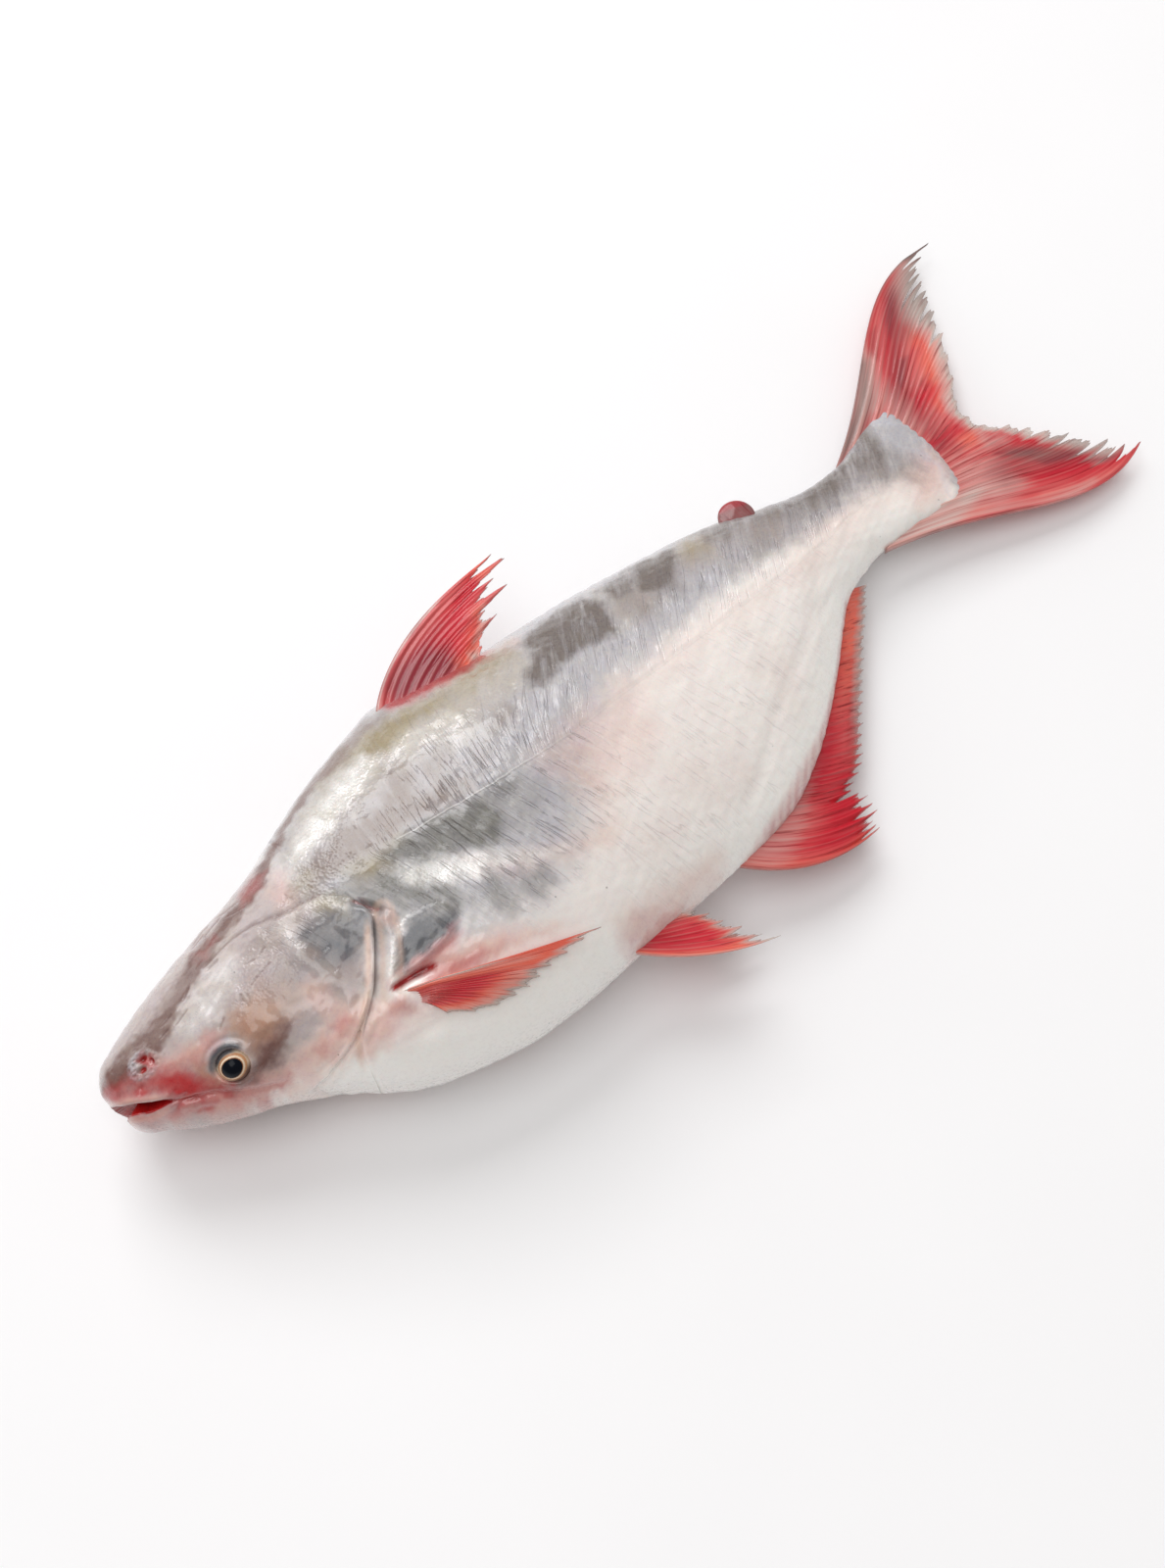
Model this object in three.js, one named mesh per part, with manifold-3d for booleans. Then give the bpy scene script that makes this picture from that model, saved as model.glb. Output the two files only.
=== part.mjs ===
// A whole pangasius catfish, raw and ungutted, lying on its right side on a table.
// Millimetres, +Z up. The fish is drawn with x from the snout to the tail, y towards
// the back and z as the height over the table, and is then moved so that the middle of
// the bottom of its box is the origin. Flesh, skull and fins are one piece of flesh and
// skin. The two eyeballs sit loose in their sockets.
import * as THREE from "three";
import { mergeVertices } from "three/addons/utils/BufferGeometryUtils.js";
import Module from "manifold-3d";

const manifold = await Module();
manifold.setup();

// ---------------------------------------------------------------- driving dimensions
const FLESH_LENGTH = 463.5; // snout to the end of the fleshy tail base
const SNOUT_TIP = -1.6; // the snout bulges a little past the point that lengths are taken from
const SNOUT_ROUND = 8; // length over which the snout rounds off
const SNOUT_Y = -6; // level of the foremost point of the snout
const TAIL_ROUND = 8; // length over which the tail base rounds off
const TAIL_BASE_Y = 8; // level of the hindmost point of the fleshy tail base
const PRESSED = 2; // height over which the flank rounds into the flat that it rests on
// Towards a rounded end the broadest level moves to that end's own point. The first
// share of that move is made at once, and the rest as the section closes.
const EARLY_MOVE = 0.3;

// Outline seen from the side: [distance behind the snout, level].
const BACK_LINE = profile([
  [0, 2.5], [10, 6.4], [30, 13.2], [60, 20.2], [90, 26.8], [105, 32.5], [133, 44],
  [160, 52.2], [182, 57], [210, 53.2], [240, 49], [270, 47.9], [310, 43.8],
  [351, 37.6], [380, 28.6], [400, 24], [415, 24.2], [432, 28.5], [448, 34], [456, 36],
]);
const BELLY_LINE = profile([
  [0, -26], [8, -29.2], [20, -37.7], [34, -45], [49, -51.2], [63, -57.4],
  [82, -70.4], [95, -80.2], [110, -87.2], [126, -92], [150, -96.8], [175, -97.6],
  [200, -96.3], [235, -94.6], [262, -92.6], [290, -88.5], [317, -76.5], [348, -54.5],
  [363, -41.5], [379, -28.5], [393, -23], [410, -20], [432, -20.6], [450, -21.5],
]);
// Half the breadth of the fish, the level at which it is broadest, and the height of
// its middle plane over the table: the tail end sinks until it all but rests.
const HALF_BREADTH = profile([
  [0, 16], [8, 18.5], [20, 23], [45, 30], [70, 36], [95, 40], [125, 42.5],
  [160, 43.5], [200, 42.5], [240, 38], [280, 31.5], [320, 25], [360, 18.5],
  [400, 13], [430, 9], [450, 5], [461, 3],
]);
const BROADEST = profile([
  [0, -8], [40, -14], [100, -20], [160, -20], [240, -15], [320, -8], [400, 0], [450, 4],
]);
const MID_HEIGHT = profile([
  [0, 37], [60, 39.8], [120, 39.5], [180, 39], [240, 35.4], [280, 31.6], [320, 28.6],
  [360, 25.8], [400, 22.6], [430, 19.8], [460, 17], [500, 12], [560, 5],
]);
// How a section fills out: below 1 it is boxy, at 1 an ellipse, above 1 a keel.
const BACK_FULLNESS = profile([
  [0, 0.8], [40, 0.72], [110, 0.8], [180, 1], [300, 1.1], [430, 0.95],
]);
const BELLY_FULLNESS = profile([
  [0, 0.8], [60, 0.8], [160, 0.85], [220, 1], [290, 1.4], [360, 1.45], [410, 1],
]);

// Mesh of the body: steps along it, and points around it.
const GILL_RINGS = [119, 121.6, 122.6, 123.6, 126, 131];
const HEAD_STEPS = 24;
const TRUNK_STEPS = 25;
const END_STEPS = 5;
const AROUND = 36;
const FLANK_DENSITY = 0.15; // how much closer the points are on the flanks than on the ridges

// Hind edge of the gill cover: [level, distance behind the snout].
const GILL_EDGE = profile([
  [-80, 84], [-66, 87], [-60, 90.5], [-55, 96.5], [-49, 104.5], [-41, 111.5],
  [-33, 117.5], [-25, 122], [-15, 120], [-6, 112],
]);
const GILL_RING = 123; // the ring of the mesh that follows that edge
const GILL_REACH = [25, 195]; // the rings in front and behind that are no longer drawn along
const RING_PASSES = 24; // passes in which a ring settles on that edge
const GILL_TOP = [-17, -9]; // levels over which the free edge fades out above
const GILL_END = [-60, -53]; // levels over which it grows into the throat below
const GILL_LIP = 2.2; // how far the cover stands proud at its edge
const GILL_GROOVE = 1.6; // how deep the skin drops behind it
const COVER_REACH = 14; // how far in front of the edge the cover's rise dies away
const GROOVE_REACH = 9; // how far behind the edge the drop dies away
const GILL_STEP = [-1.5, 2]; // the step itself, from the cover down to the skin behind

// Eyes: where they sit on the side of the head, and their size.
const EYE = { x: 45.4, y: -35.2, radius: 7.6, cornea: 5.6, bulge: 0.9, proud: 2.6 };
const SOCKET_GAP = 0.35;
const EYE_STEPS = 12; // steps over the eyeball, and points around it
const EYE_AROUND = 20;
const SPOT_REACH = 3; // distance over which the slant of the skin is taken
const NOSTRIL = { x: 19.3, y: -10.7, radius: 3.2, rim: 0.9, rimSteps: 6, around: 12 };

// Mouth: a slit right across the snout, as a side view of its upper and lower lips.
const MOUTH_UPPER = [[-6, -6.5], [0, -12.5], [3, -16.2], [8, -20], [15, -25], [25, -32.2]];
const MOUTH_LOWER = [[16, -29], [9, -25], [3, -21.4], [-6, -17]];
const MOUTH_WIDTH = 70;

// Fins. root and tip give the inner and outer end of the ray at each share of the fin
// from its front: [share, x, y]. bow is how far that ray arches towards the front, as
// a share of its length, arch how steeply the arch rises at the root and falls at the
// tip, and notch how far the skin between two rays stops short.
const DORSAL_LIFT = 17; // the back is rolled upwards a little, and its fin with it
const DORSAL_WAVE = 1.5; // how far the fin waves to either side
const DORSAL_FIN = {
  rays: 8, across: 16, along: 7, arch: [0.84, 1.16], notch: 0.12, thick: [3.2, 0.9],
  ridge: 0.5, spine: 1.3,
  root: path([[0, 179, 48], [1, 226, 40]]),
  tip: path([
    [0, 262, 79.4], [0.125, 268.5, 75], [0.25, 256, 69.8], [0.375, 259.5, 64], [0.5, 245, 60],
    [0.625, 247.5, 55.2], [0.75, 239, 51.5], [0.875, 234.5, 46.8], [1, 229, 42.5],
  ]),
  bow: profile([[0, 0.124], [0.5, 0.06], [1, 0.02]]),
  height: (x, y, s, t) => MID_HEIGHT(x) + DORSAL_LIFT + DORSAL_WAVE * Math.sin(3 * s + 2 * t),
};
const TAIL_BULGE = 2; // how far the spread tail fin bulges upwards at its edge
const TAIL_FIN = {
  rays: 18, across: 36, along: 9, arch: [2.6, 1], notch: 0.05, thick: [5, 0.9],
  ridge: 0.45, spine: 0.5,
  root: path([
    [0, 410, 19.5], [0.08, 436, 27], [0.16, 449, 26], [0.3, 454, 18], [0.5, 455, 3],
    [0.7, 452, -9], [0.84, 446, -17], [0.92, 434, -19], [1, 408, -20.5],
  ]),
  tip: path([
    [0, 540, 91], [0.06, 533, 86], [0.16, 522, 71], [0.27, 510, 50], [0.38, 497, 29],
    [0.47, 486, 12], [0.53, 487, 3], [0.62, 500, -8], [0.73, 513, -21], [0.84, 526, -34],
    [0.94, 537, -45], [1, 543, -50],
  ]),
  bow: profile([
    [0, 0.085], [0.1, 0.06], [0.3, 0.02], [0.5, 0], [0.7, -0.02], [0.9, -0.05], [1, -0.088],
  ]),
  height: (x, y, s, t) => MID_HEIGHT(x) + TAIL_BULGE * t * Math.sin(Math.PI * (1 - s)),
};
const ANAL_SAG = [13, 7]; // how far the fin's edge hangs below its root, in front and behind
const ANAL_FIN = {
  rays: 28, across: 56, along: 4, arch: [1, 1], notch: 0.11, thick: [2.6, 0.9],
  ridge: 0.35, spine: 0.4,
  root: path([
    [0, 256, -90], [0.2, 284, -86], [0.4, 310, -76], [0.65, 341, -55], [0.85, 364, -35],
    [1, 380, -24],
  ]),
  tip: path([
    [0, 321, -114], [0.1, 326, -108], [0.2, 328, -98], [0.25, 324, -94], [0.35, 334, -88],
    [0.55, 352, -69], [0.75, 372, -48], [0.9, 387, -33], [1, 393, -26],
  ]),
  bow: profile([[0, -0.13], [0.2, -0.06], [1, 0]]),
  height: (x, y, s, t) => MID_HEIGHT(x) - THREE.MathUtils.lerp(...ANAL_SAG, s) * t,
};
const PELVIC_FIN = {
  rays: 6, across: 12, along: 6, arch: [1, 1], notch: 0.1, thick: [3, 0.9],
  ridge: 0.5, spine: 0.7,
  root: path([[0, 196, -92], [1, 203, -86]]),
  tip: path([
    [0, 251.3, -126.6], [0.2, 244.5, -119.5], [0.4, 240.1, -111], [0.6, 236, -103.5],
    [0.8, 231.5, -98], [1, 223, -92.5],
  ]),
  bow: profile([[0, -0.08], [1, 0.04]]),
};
const PELVIC_SPREAD = 5; // how far each pelvic root is off the middle plane
const PELVIC_SAG = 14; // how far the lower pelvic fin's tip sinks below its root
const PELVIC_DROOP = 2; // how far the upper one's does
const PELVIC_TWIST = 3; // how far the hind ray of each turns outwards
const PELVIC_TUCK = 9; // how far up the belly the table pushes the lower pelvic fin
const PECTORAL_FIN = {
  rays: 9, across: 18, along: 6, arch: [1, 1], notch: 0.12, thick: [3.6, 1.1],
  ridge: 0.4, spine: 1.7,
  root: path([[0, 111, -54.5], [1, 116, -63]]),
  tip: path([
    [0, 191, -83.5], [0.12, 183, -83.5], [0.3, 168, -83.5], [0.5, 157, -84.5],
    [0.7, 146, -84], [0.85, 134, -80.5], [1, 122, -73],
  ]),
  bow: profile([[0, -0.02], [1, 0.05]]),
};
const PECTORAL_SUNK = 3; // how deep the pectoral fin's root sits in the flesh
const PECTORAL_LIFT = 1.9; // how far its blade stands off the flank
const PECTORAL_RISE = 0.25; // share of the fin over which it rises out of the flesh
const PECTORAL_CANT = 1.5; // how much farther out the front edge of its tip stands
const RIDGE_FADE = 0.6; // share of a ray's height that is gone at its tip
const SPINE_FADE = 0.7; // and of the first ray's extra thickness
const TABLE_GAP = 0.3; // the least height of a fin over the table
const NEAR_RIDGE = 0.995; // share of the way to a ridge up to which the flank is measured
const ADIPOSE_FIN = {
  x: 364, length: 17, height: 8.5, breadth: 3.4, lean: -12, sunk: 3.5, lift: 7,
  around: 14, steps: 8,
};

const COLOURS = {
  skin: { color: 0xc3bfba, roughness: 0.38, metalness: 0 },
  eye: { color: 0x2b2320, roughness: 0.12, metalness: 0 },
};

const MERGE_REACH = 1e-4; // points closer than this are one

// ---------------------------------------------------------------- curves
// A smooth curve through points [at, value], with no overshoot between them.
function profile(points) {
  const at = points.map((p) => p[0]);
  const value = points.map((p) => p[1]);
  const last = at.length - 1;
  const secant = (i) => (value[i + 1] - value[i]) / (at[i + 1] - at[i]);
  const slope = at.map((_, i) => {
    if (i === 0) return secant(0);
    if (i === last) return secant(last - 1);
    const before = secant(i - 1);
    const after = secant(i);
    return before * after > 0 ? (2 * before * after) / (before + after) : 0;
  });
  return (x) => {
    const held = THREE.MathUtils.clamp(x, at[0], at[last]);
    let i = 0;
    while (i < last - 1 && held > at[i + 1]) i += 1;
    const gap = at[i + 1] - at[i];
    const u = (held - at[i]) / gap;
    const rise = value[i + 1] - value[i];
    return (
      value[i] + rise * u * u * (3 - 2 * u) +
      gap * u * (1 - u) * (slope[i] * (1 - u) - slope[i + 1] * u)
    );
  };
}

// A curve in the plane through points [share, x, y].
function path(points) {
  const x = profile(points.map((p) => [p[0], p[1]]));
  const y = profile(points.map((p) => [p[0], p[2]]));
  return (share) => new THREE.Vector2(x(share), y(share));
}

// ---------------------------------------------------------------- body
// How much of the full section is left where the snout and the tail base round off.
function rounding(x) {
  const front = THREE.MathUtils.clamp(1 - (x - SNOUT_TIP) / SNOUT_ROUND, 0, 1);
  const hind = THREE.MathUtils.clamp(1 - (FLESH_LENGTH - x) / TAIL_ROUND, 0, 1);
  return Math.sqrt((1 - front * front) * (1 - hind * hind));
}

// Section of the body at x: its middle, its reach to the back and belly, its breadth.
function section(x) {
  const round = rounding(x);
  const endLevel = x < GILL_RING ? SNOUT_Y : TAIL_BASE_Y;
  const share = THREE.MathUtils.lerp(EARLY_MOVE, 1, round) * round;
  const level = THREE.MathUtils.lerp(endLevel, BROADEST(x), share);
  return {
    level,
    up: (BACK_LINE(x) - level) * round,
    down: (level - BELLY_LINE(x)) * round,
    half: HALF_BREADTH(x) * round,
    middle: MID_HEIGHT(x),
    backFullness: BACK_FULLNESS(x),
    bellyFullness: BELLY_FULLNESS(x),
  };
}

// Relief of the gill cover: its edge stands proud, and the skin drops behind it.
function gillRelief(behind, y) {
  const above = 1 - THREE.MathUtils.smoothstep(y, ...GILL_TOP);
  const below = THREE.MathUtils.smoothstep(y, ...GILL_END);
  const cover = GILL_LIP * Math.exp(Math.min(0, behind) / COVER_REACH);
  const groove = -GILL_GROOVE * Math.exp(-Math.max(0, behind) / GROOVE_REACH);
  const step = THREE.MathUtils.smoothstep(behind, ...GILL_STEP);
  return above * below * THREE.MathUtils.lerp(cover, groove, step);
}

// The flank that the fish lies on is pressed flat against the table.
function pressed(z) {
  if (z >= PRESSED) return z;
  return z <= -PRESSED ? 0 : (z + PRESSED) ** 2 / (4 * PRESSED);
}

// The rings of the mesh on either side of the gill edge are drawn along with it.
function ringShift(ring, y) {
  const [front, hind] = GILL_REACH;
  const reach = ring < GILL_RING ? front : hind;
  const share = (ring - reach) / (GILL_RING - reach);
  return (GILL_EDGE(y) - GILL_RING) * THREE.MathUtils.clamp(share, 0, 1);
}

function levelOf(s, turn) {
  const c = Math.cos(turn);
  return s.level + (c > 0 ? s.up : s.down) * c;
}

// A point of the skin at x: turn 0 is the ridge of the back, a quarter turn the left side.
function skinPoint(x, turn, behindGill) {
  const s = section(x);
  const sine = Math.sin(turn);
  const y = levelOf(s, turn);
  const fullness = Math.cos(turn) > 0 ? s.backFullness : s.bellyFullness;
  const reach = s.half * Math.abs(sine) ** fullness;
  const relief = gillRelief(behindGill ?? x - GILL_EDGE(y), y) * Math.abs(sine) * rounding(x);
  return new THREE.Vector3(x, y, pressed(s.middle + Math.sign(sine) * (reach + relief)));
}

// A point of the mesh, on a ring that may be drawn along with the gill edge.
function ringPoint(ring, turn) {
  let x = ring;
  for (let i = 0; i < RING_PASSES; i += 1) {
    x = (x + ring + ringShift(ring, levelOf(section(x), turn))) / 2;
  }
  return skinPoint(x, turn, ring - GILL_RING);
}

// Height of the skin over the table at x, y on the left (+1) or right (-1) side.
function flank(x, y, side) {
  const s = section(x);
  const share = (y - s.level) / (y > s.level ? s.up : s.down);
  const held = THREE.MathUtils.clamp(share, -NEAR_RIDGE, NEAR_RIDGE);
  return skinPoint(x, side * Math.acos(held)).z;
}

function bodySteps() {
  const steps = [];
  for (let i = 1; i <= END_STEPS; i += 1) {
    steps.push(SNOUT_TIP + SNOUT_ROUND * (1 - Math.cos((Math.PI / 2) * (i / END_STEPS))));
  }
  const headEnd = GILL_RINGS[0];
  for (let i = 1; i < HEAD_STEPS; i += 1) {
    steps.push(THREE.MathUtils.lerp(SNOUT_TIP + SNOUT_ROUND, headEnd, i / HEAD_STEPS));
  }
  steps.push(...GILL_RINGS);
  const trunkStart = GILL_RINGS.at(-1);
  const trunkEnd = FLESH_LENGTH - TAIL_ROUND;
  for (let i = 1; i <= TRUNK_STEPS; i += 1) {
    steps.push(THREE.MathUtils.lerp(trunkStart, trunkEnd, i / TRUNK_STEPS));
  }
  for (let i = 1; i < END_STEPS; i += 1) {
    steps.push(trunkEnd + TAIL_ROUND * Math.sin((Math.PI / 2) * (i / END_STEPS)));
  }
  return steps;
}

function bodyGeometry() {
  const steps = bodySteps();
  const points = [];
  for (const x of steps) {
    for (let k = 0; k < AROUND; k += 1) {
      const even = (2 * Math.PI * k) / AROUND;
      points.push(ringPoint(x, even + FLANK_DENSITY * Math.sin(2 * even)));
    }
  }
  const snout = points.push(new THREE.Vector3(SNOUT_TIP, SNOUT_Y, MID_HEIGHT(0))) - 1;
  const end = points.push(new THREE.Vector3(FLESH_LENGTH, TAIL_BASE_Y, MID_HEIGHT(FLESH_LENGTH))) - 1;
  const faces = [];
  const ring = (i, k) => i * AROUND + (k % AROUND);
  const lastRing = steps.length - 1;
  for (let k = 0; k < AROUND; k += 1) {
    faces.push([snout, ring(0, k), ring(0, k + 1)]);
    faces.push([end, ring(lastRing, k + 1), ring(lastRing, k)]);
    for (let i = 0; i < lastRing; i += 1) {
      faces.push([ring(i, k), ring(i + 1, k), ring(i + 1, k + 1)]);
      faces.push([ring(i, k), ring(i + 1, k + 1), ring(i, k + 1)]);
    }
  }
  return meshOf(points, faces);
}

// ---------------------------------------------------------------- fins
// How much skin lies between two rays here: 0 on a ray, 1 midway.
function between(fin, share) {
  return Math.sin(Math.PI * fin.rays * share) ** 2;
}

// An arch from 0 to 0 over a ray, 1 high at its peak, that sets out and ends as given.
function archShape(reach, [rise, fall]) {
  const peak = rise / (rise + fall);
  return (reach ** rise * (1 - reach) ** fall) / (peak ** rise * (1 - peak) ** fall);
}

// A point of the fin's middle sheet, at a share of its rays and a share of their length.
function finPoint(fin, share, along) {
  const root = fin.root(share);
  const ray = fin.tip(share).sub(root);
  const reach = along * (1 - fin.notch * Math.sqrt(between(fin, share)) * along);
  const arch = fin.bow(share) * archShape(reach, fin.arch);
  const across = new THREE.Vector2(-ray.y, ray.x);
  return root.addScaledVector(ray, reach).addScaledVector(across, arch);
}

function finHalfThickness(fin, share, along) {
  const [root, edge] = fin.thick;
  const skin = THREE.MathUtils.lerp(root, edge, Math.sqrt(along)) / 2;
  const ridge = fin.ridge * (1 - between(fin, share)) * (1 - RIDGE_FADE * along);
  const spine = fin.spine * Math.exp(-((share * fin.rays) ** 2)) * (1 - SPINE_FADE * along);
  return skin + ridge + spine;
}

// A fin as a closed sheet, moved up the belly by tuck.
function finGeometry(fin, height = fin.height, tuck = 0) {
  const points = [];
  const columns = fin.across + 1;
  const rows = fin.along + 1;
  for (const face of [1, -1]) {
    for (let i = 0; i < columns; i += 1) {
      for (let j = 0; j < rows; j += 1) {
        const share = i / fin.across;
        const along = j / fin.along;
        const at = finPoint(fin, share, along);
        const middle = height(at.x, at.y, share, along);
        const half = finHalfThickness(fin, share, along);
        const lifted = Math.max(middle, half + TABLE_GAP);
        points.push(new THREE.Vector3(at.x, at.y + tuck, lifted + face * half));
      }
    }
  }
  const faces = [];
  const top = (i, j) => i * rows + j;
  const bottom = (i, j) => columns * rows + top(i, j);
  const quad = (a, b, c, d) => faces.push([a, b, c], [a, c, d]);
  const wall = ([i, j], [k, l]) => quad(top(i, j), top(k, l), bottom(k, l), bottom(i, j));
  for (let i = 0; i < fin.across; i += 1) {
    for (let j = 0; j < fin.along; j += 1) {
      quad(top(i, j), top(i, j + 1), top(i + 1, j + 1), top(i + 1, j));
      quad(bottom(i, j), bottom(i + 1, j), bottom(i + 1, j + 1), bottom(i, j + 1));
    }
    wall([i, 0], [i + 1, 0]);
    wall([i + 1, fin.along], [i, fin.along]);
  }
  for (let j = 0; j < fin.along; j += 1) {
    wall([0, j + 1], [0, j]);
    wall([fin.across, j], [fin.across, j + 1]);
  }
  return meshOf(points, faces);
}

function pelvicHeight(side) {
  return (x, y, share, along) => {
    const sag = side > 0 ? PELVIC_DROOP : PELVIC_SAG;
    const twist = side * PELVIC_TWIST * share;
    return MID_HEIGHT(x) + side * PELVIC_SPREAD + (twist - sag) * along;
  };
}

// A pectoral fin folds back along the flank, its root in the flesh and its tip free.
function pectoralHeight(side) {
  return (x, y, share, along) => {
    const out = THREE.MathUtils.smoothstep(along, 0, PECTORAL_RISE);
    const lift = THREE.MathUtils.lerp(-PECTORAL_SUNK, PECTORAL_LIFT, out);
    return flank(x, y, side) + side * (lift + PECTORAL_CANT * along * (1 - share));
  };
}

function adiposeGeometry() {
  const { x, length, height, breadth, lean, sunk, lift, around, steps } = ADIPOSE_FIN;
  const blob = new THREE.SphereGeometry(1, around, steps);
  blob.scale(length / 2, height, breadth / 2);
  blob.rotateZ(THREE.MathUtils.degToRad(lean));
  blob.translate(x, BACK_LINE(x) - sunk, MID_HEIGHT(x) + lift);
  return blob;
}

// ---------------------------------------------------------------- head
// Frame of a spot on the side of the head: where the skin is, and which way it faces.
function headSpot(x, y, side) {
  const at = (dx, dy) => new THREE.Vector3(x + dx, y + dy, flank(x + dx, y + dy, side));
  const alongX = at(SPOT_REACH, 0).sub(at(-SPOT_REACH, 0));
  const alongY = at(0, SPOT_REACH).sub(at(0, -SPOT_REACH));
  const normal = alongX.cross(alongY).normalize().multiplyScalar(side);
  const turn = new THREE.Quaternion().setFromUnitVectors(new THREE.Vector3(0, 1, 0), normal);
  return { point: at(0, 0), turn, normal };
}

// Eyeball, turned about its own axis, with the clearer dome of the cornea in front.
function eyeballGeometry() {
  const { radius, cornea, bulge } = EYE;
  const outline = [new THREE.Vector2(0, -radius)];
  for (let i = 1; i < EYE_STEPS; i += 1) {
    const angle = Math.PI * (i / EYE_STEPS);
    const r = radius * Math.sin(angle);
    const dome = r < cornea && angle > Math.PI / 2 ? bulge * (1 - (r / cornea) ** 2) : 0;
    outline.push(new THREE.Vector2(r, -radius * Math.cos(angle) + dome));
  }
  outline.push(new THREE.Vector2(0, radius + bulge));
  return new THREE.LatheGeometry(outline, EYE_AROUND);
}

function eyeCentre(side) {
  const spot = headSpot(EYE.x, EYE.y, side);
  const centre = spot.point.clone().addScaledVector(spot.normal, EYE.proud - EYE.radius);
  return { ...spot, centre };
}

function socketGeometry(side) {
  const { centre } = eyeCentre(side);
  const radius = EYE.radius + EYE.bulge + SOCKET_GAP;
  const hollow = new THREE.SphereGeometry(radius, EYE_AROUND, EYE_STEPS);
  return hollow.translate(centre.x, centre.y, centre.z);
}

function nostrilGeometry(side) {
  const { x, y, radius, rim, rimSteps, around } = NOSTRIL;
  const { point, turn } = headSpot(x, y, side);
  const ring = new THREE.TorusGeometry(radius, rim, rimSteps, around).rotateX(Math.PI / 2);
  return ring.applyQuaternion(turn).translate(point.x, point.y, point.z);
}

function mouthGeometry() {
  const outline = [...MOUTH_UPPER, ...MOUTH_LOWER].map(([x, y]) => new THREE.Vector2(x, y));
  const extent = { depth: MOUTH_WIDTH, bevelEnabled: false, steps: 1 };
  const slit = new THREE.ExtrudeGeometry(new THREE.Shape(outline), extent);
  return slit.translate(0, 0, MID_HEIGHT(0) - MOUTH_WIDTH / 2);
}

// ---------------------------------------------------------------- solids
// A closed mesh with its faces turned outwards, whichever way they were listed.
function meshOf(points, faces) {
  const volume = faces.reduce(
    (sum, [a, b, c]) => sum + points[a].dot(points[b].clone().cross(points[c])), 0,
  );
  const outward = volume < 0 ? faces.map(([a, b, c]) => [a, c, b]) : faces;
  return new THREE.BufferGeometry().setFromPoints(points).setIndex(outward.flat());
}

function solidOf(geometry) {
  const bare = new THREE.BufferGeometry();
  bare.setAttribute("position", geometry.getAttribute("position"));
  if (geometry.index) bare.setIndex(geometry.index);
  const merged = mergeVertices(bare, MERGE_REACH);
  const mesh = new manifold.Mesh({
    numProp: 3,
    vertProperties: new Float32Array(merged.getAttribute("position").array),
    triVerts: new Uint32Array(merged.index.array),
  });
  return new manifold.Manifold(mesh);
}

function geometryOf(solid) {
  const { vertProperties, triVerts, numProp } = solid.getMesh();
  const positions = new Float32Array((vertProperties.length / numProp) * 3);
  for (let i = 0; i * numProp < vertProperties.length; i += 1) {
    positions.set(vertProperties.subarray(i * numProp, i * numProp + 3), i * 3);
  }
  const geometry = new THREE.BufferGeometry();
  geometry.setAttribute("position", new THREE.BufferAttribute(positions, 3));
  geometry.setIndex(new THREE.BufferAttribute(triVerts, 1));
  geometry.computeVertexNormals();
  return geometry;
}

function fishGeometry() {
  let fish = solidOf(bodyGeometry());
  for (const fin of [DORSAL_FIN, TAIL_FIN, ANAL_FIN]) fish = fish.add(solidOf(finGeometry(fin)));
  for (const side of [1, -1]) {
    fish = fish.add(solidOf(finGeometry(PELVIC_FIN, pelvicHeight(side), side > 0 ? 0 : PELVIC_TUCK)));
    fish = fish.add(solidOf(finGeometry(PECTORAL_FIN, pectoralHeight(side))));
    fish = fish.add(solidOf(nostrilGeometry(side)));
    fish = fish.subtract(solidOf(socketGeometry(side)));
  }
  fish = fish.add(solidOf(adiposeGeometry())).subtract(solidOf(mouthGeometry()));
  return geometryOf(fish);
}

// ---------------------------------------------------------------- the part
function partMesh(name, geometry, look) {
  const mesh = new THREE.Mesh(geometry, new THREE.MeshStandardMaterial(look));
  mesh.name = name;
  return mesh;
}

const part = new THREE.Group();
part.add(partMesh("fish", fishGeometry(), COLOURS.skin));
for (const [name, side] of [["eye_left", 1], ["eye_right", -1]]) {
  const eye = partMesh(name, eyeballGeometry(), COLOURS.eye);
  const { centre, turn } = eyeCentre(side);
  eye.position.copy(centre);
  eye.quaternion.copy(turn);
  part.add(eye);
}

const box = new THREE.Box3().setFromObject(part);
part.position.set(-(box.min.x + box.max.x) / 2, -(box.min.y + box.max.y) / 2, -box.min.z);

export default part;
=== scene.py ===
"""A whole raw pangasius catfish on a pale studio table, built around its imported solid."""

import functools
import math

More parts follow.
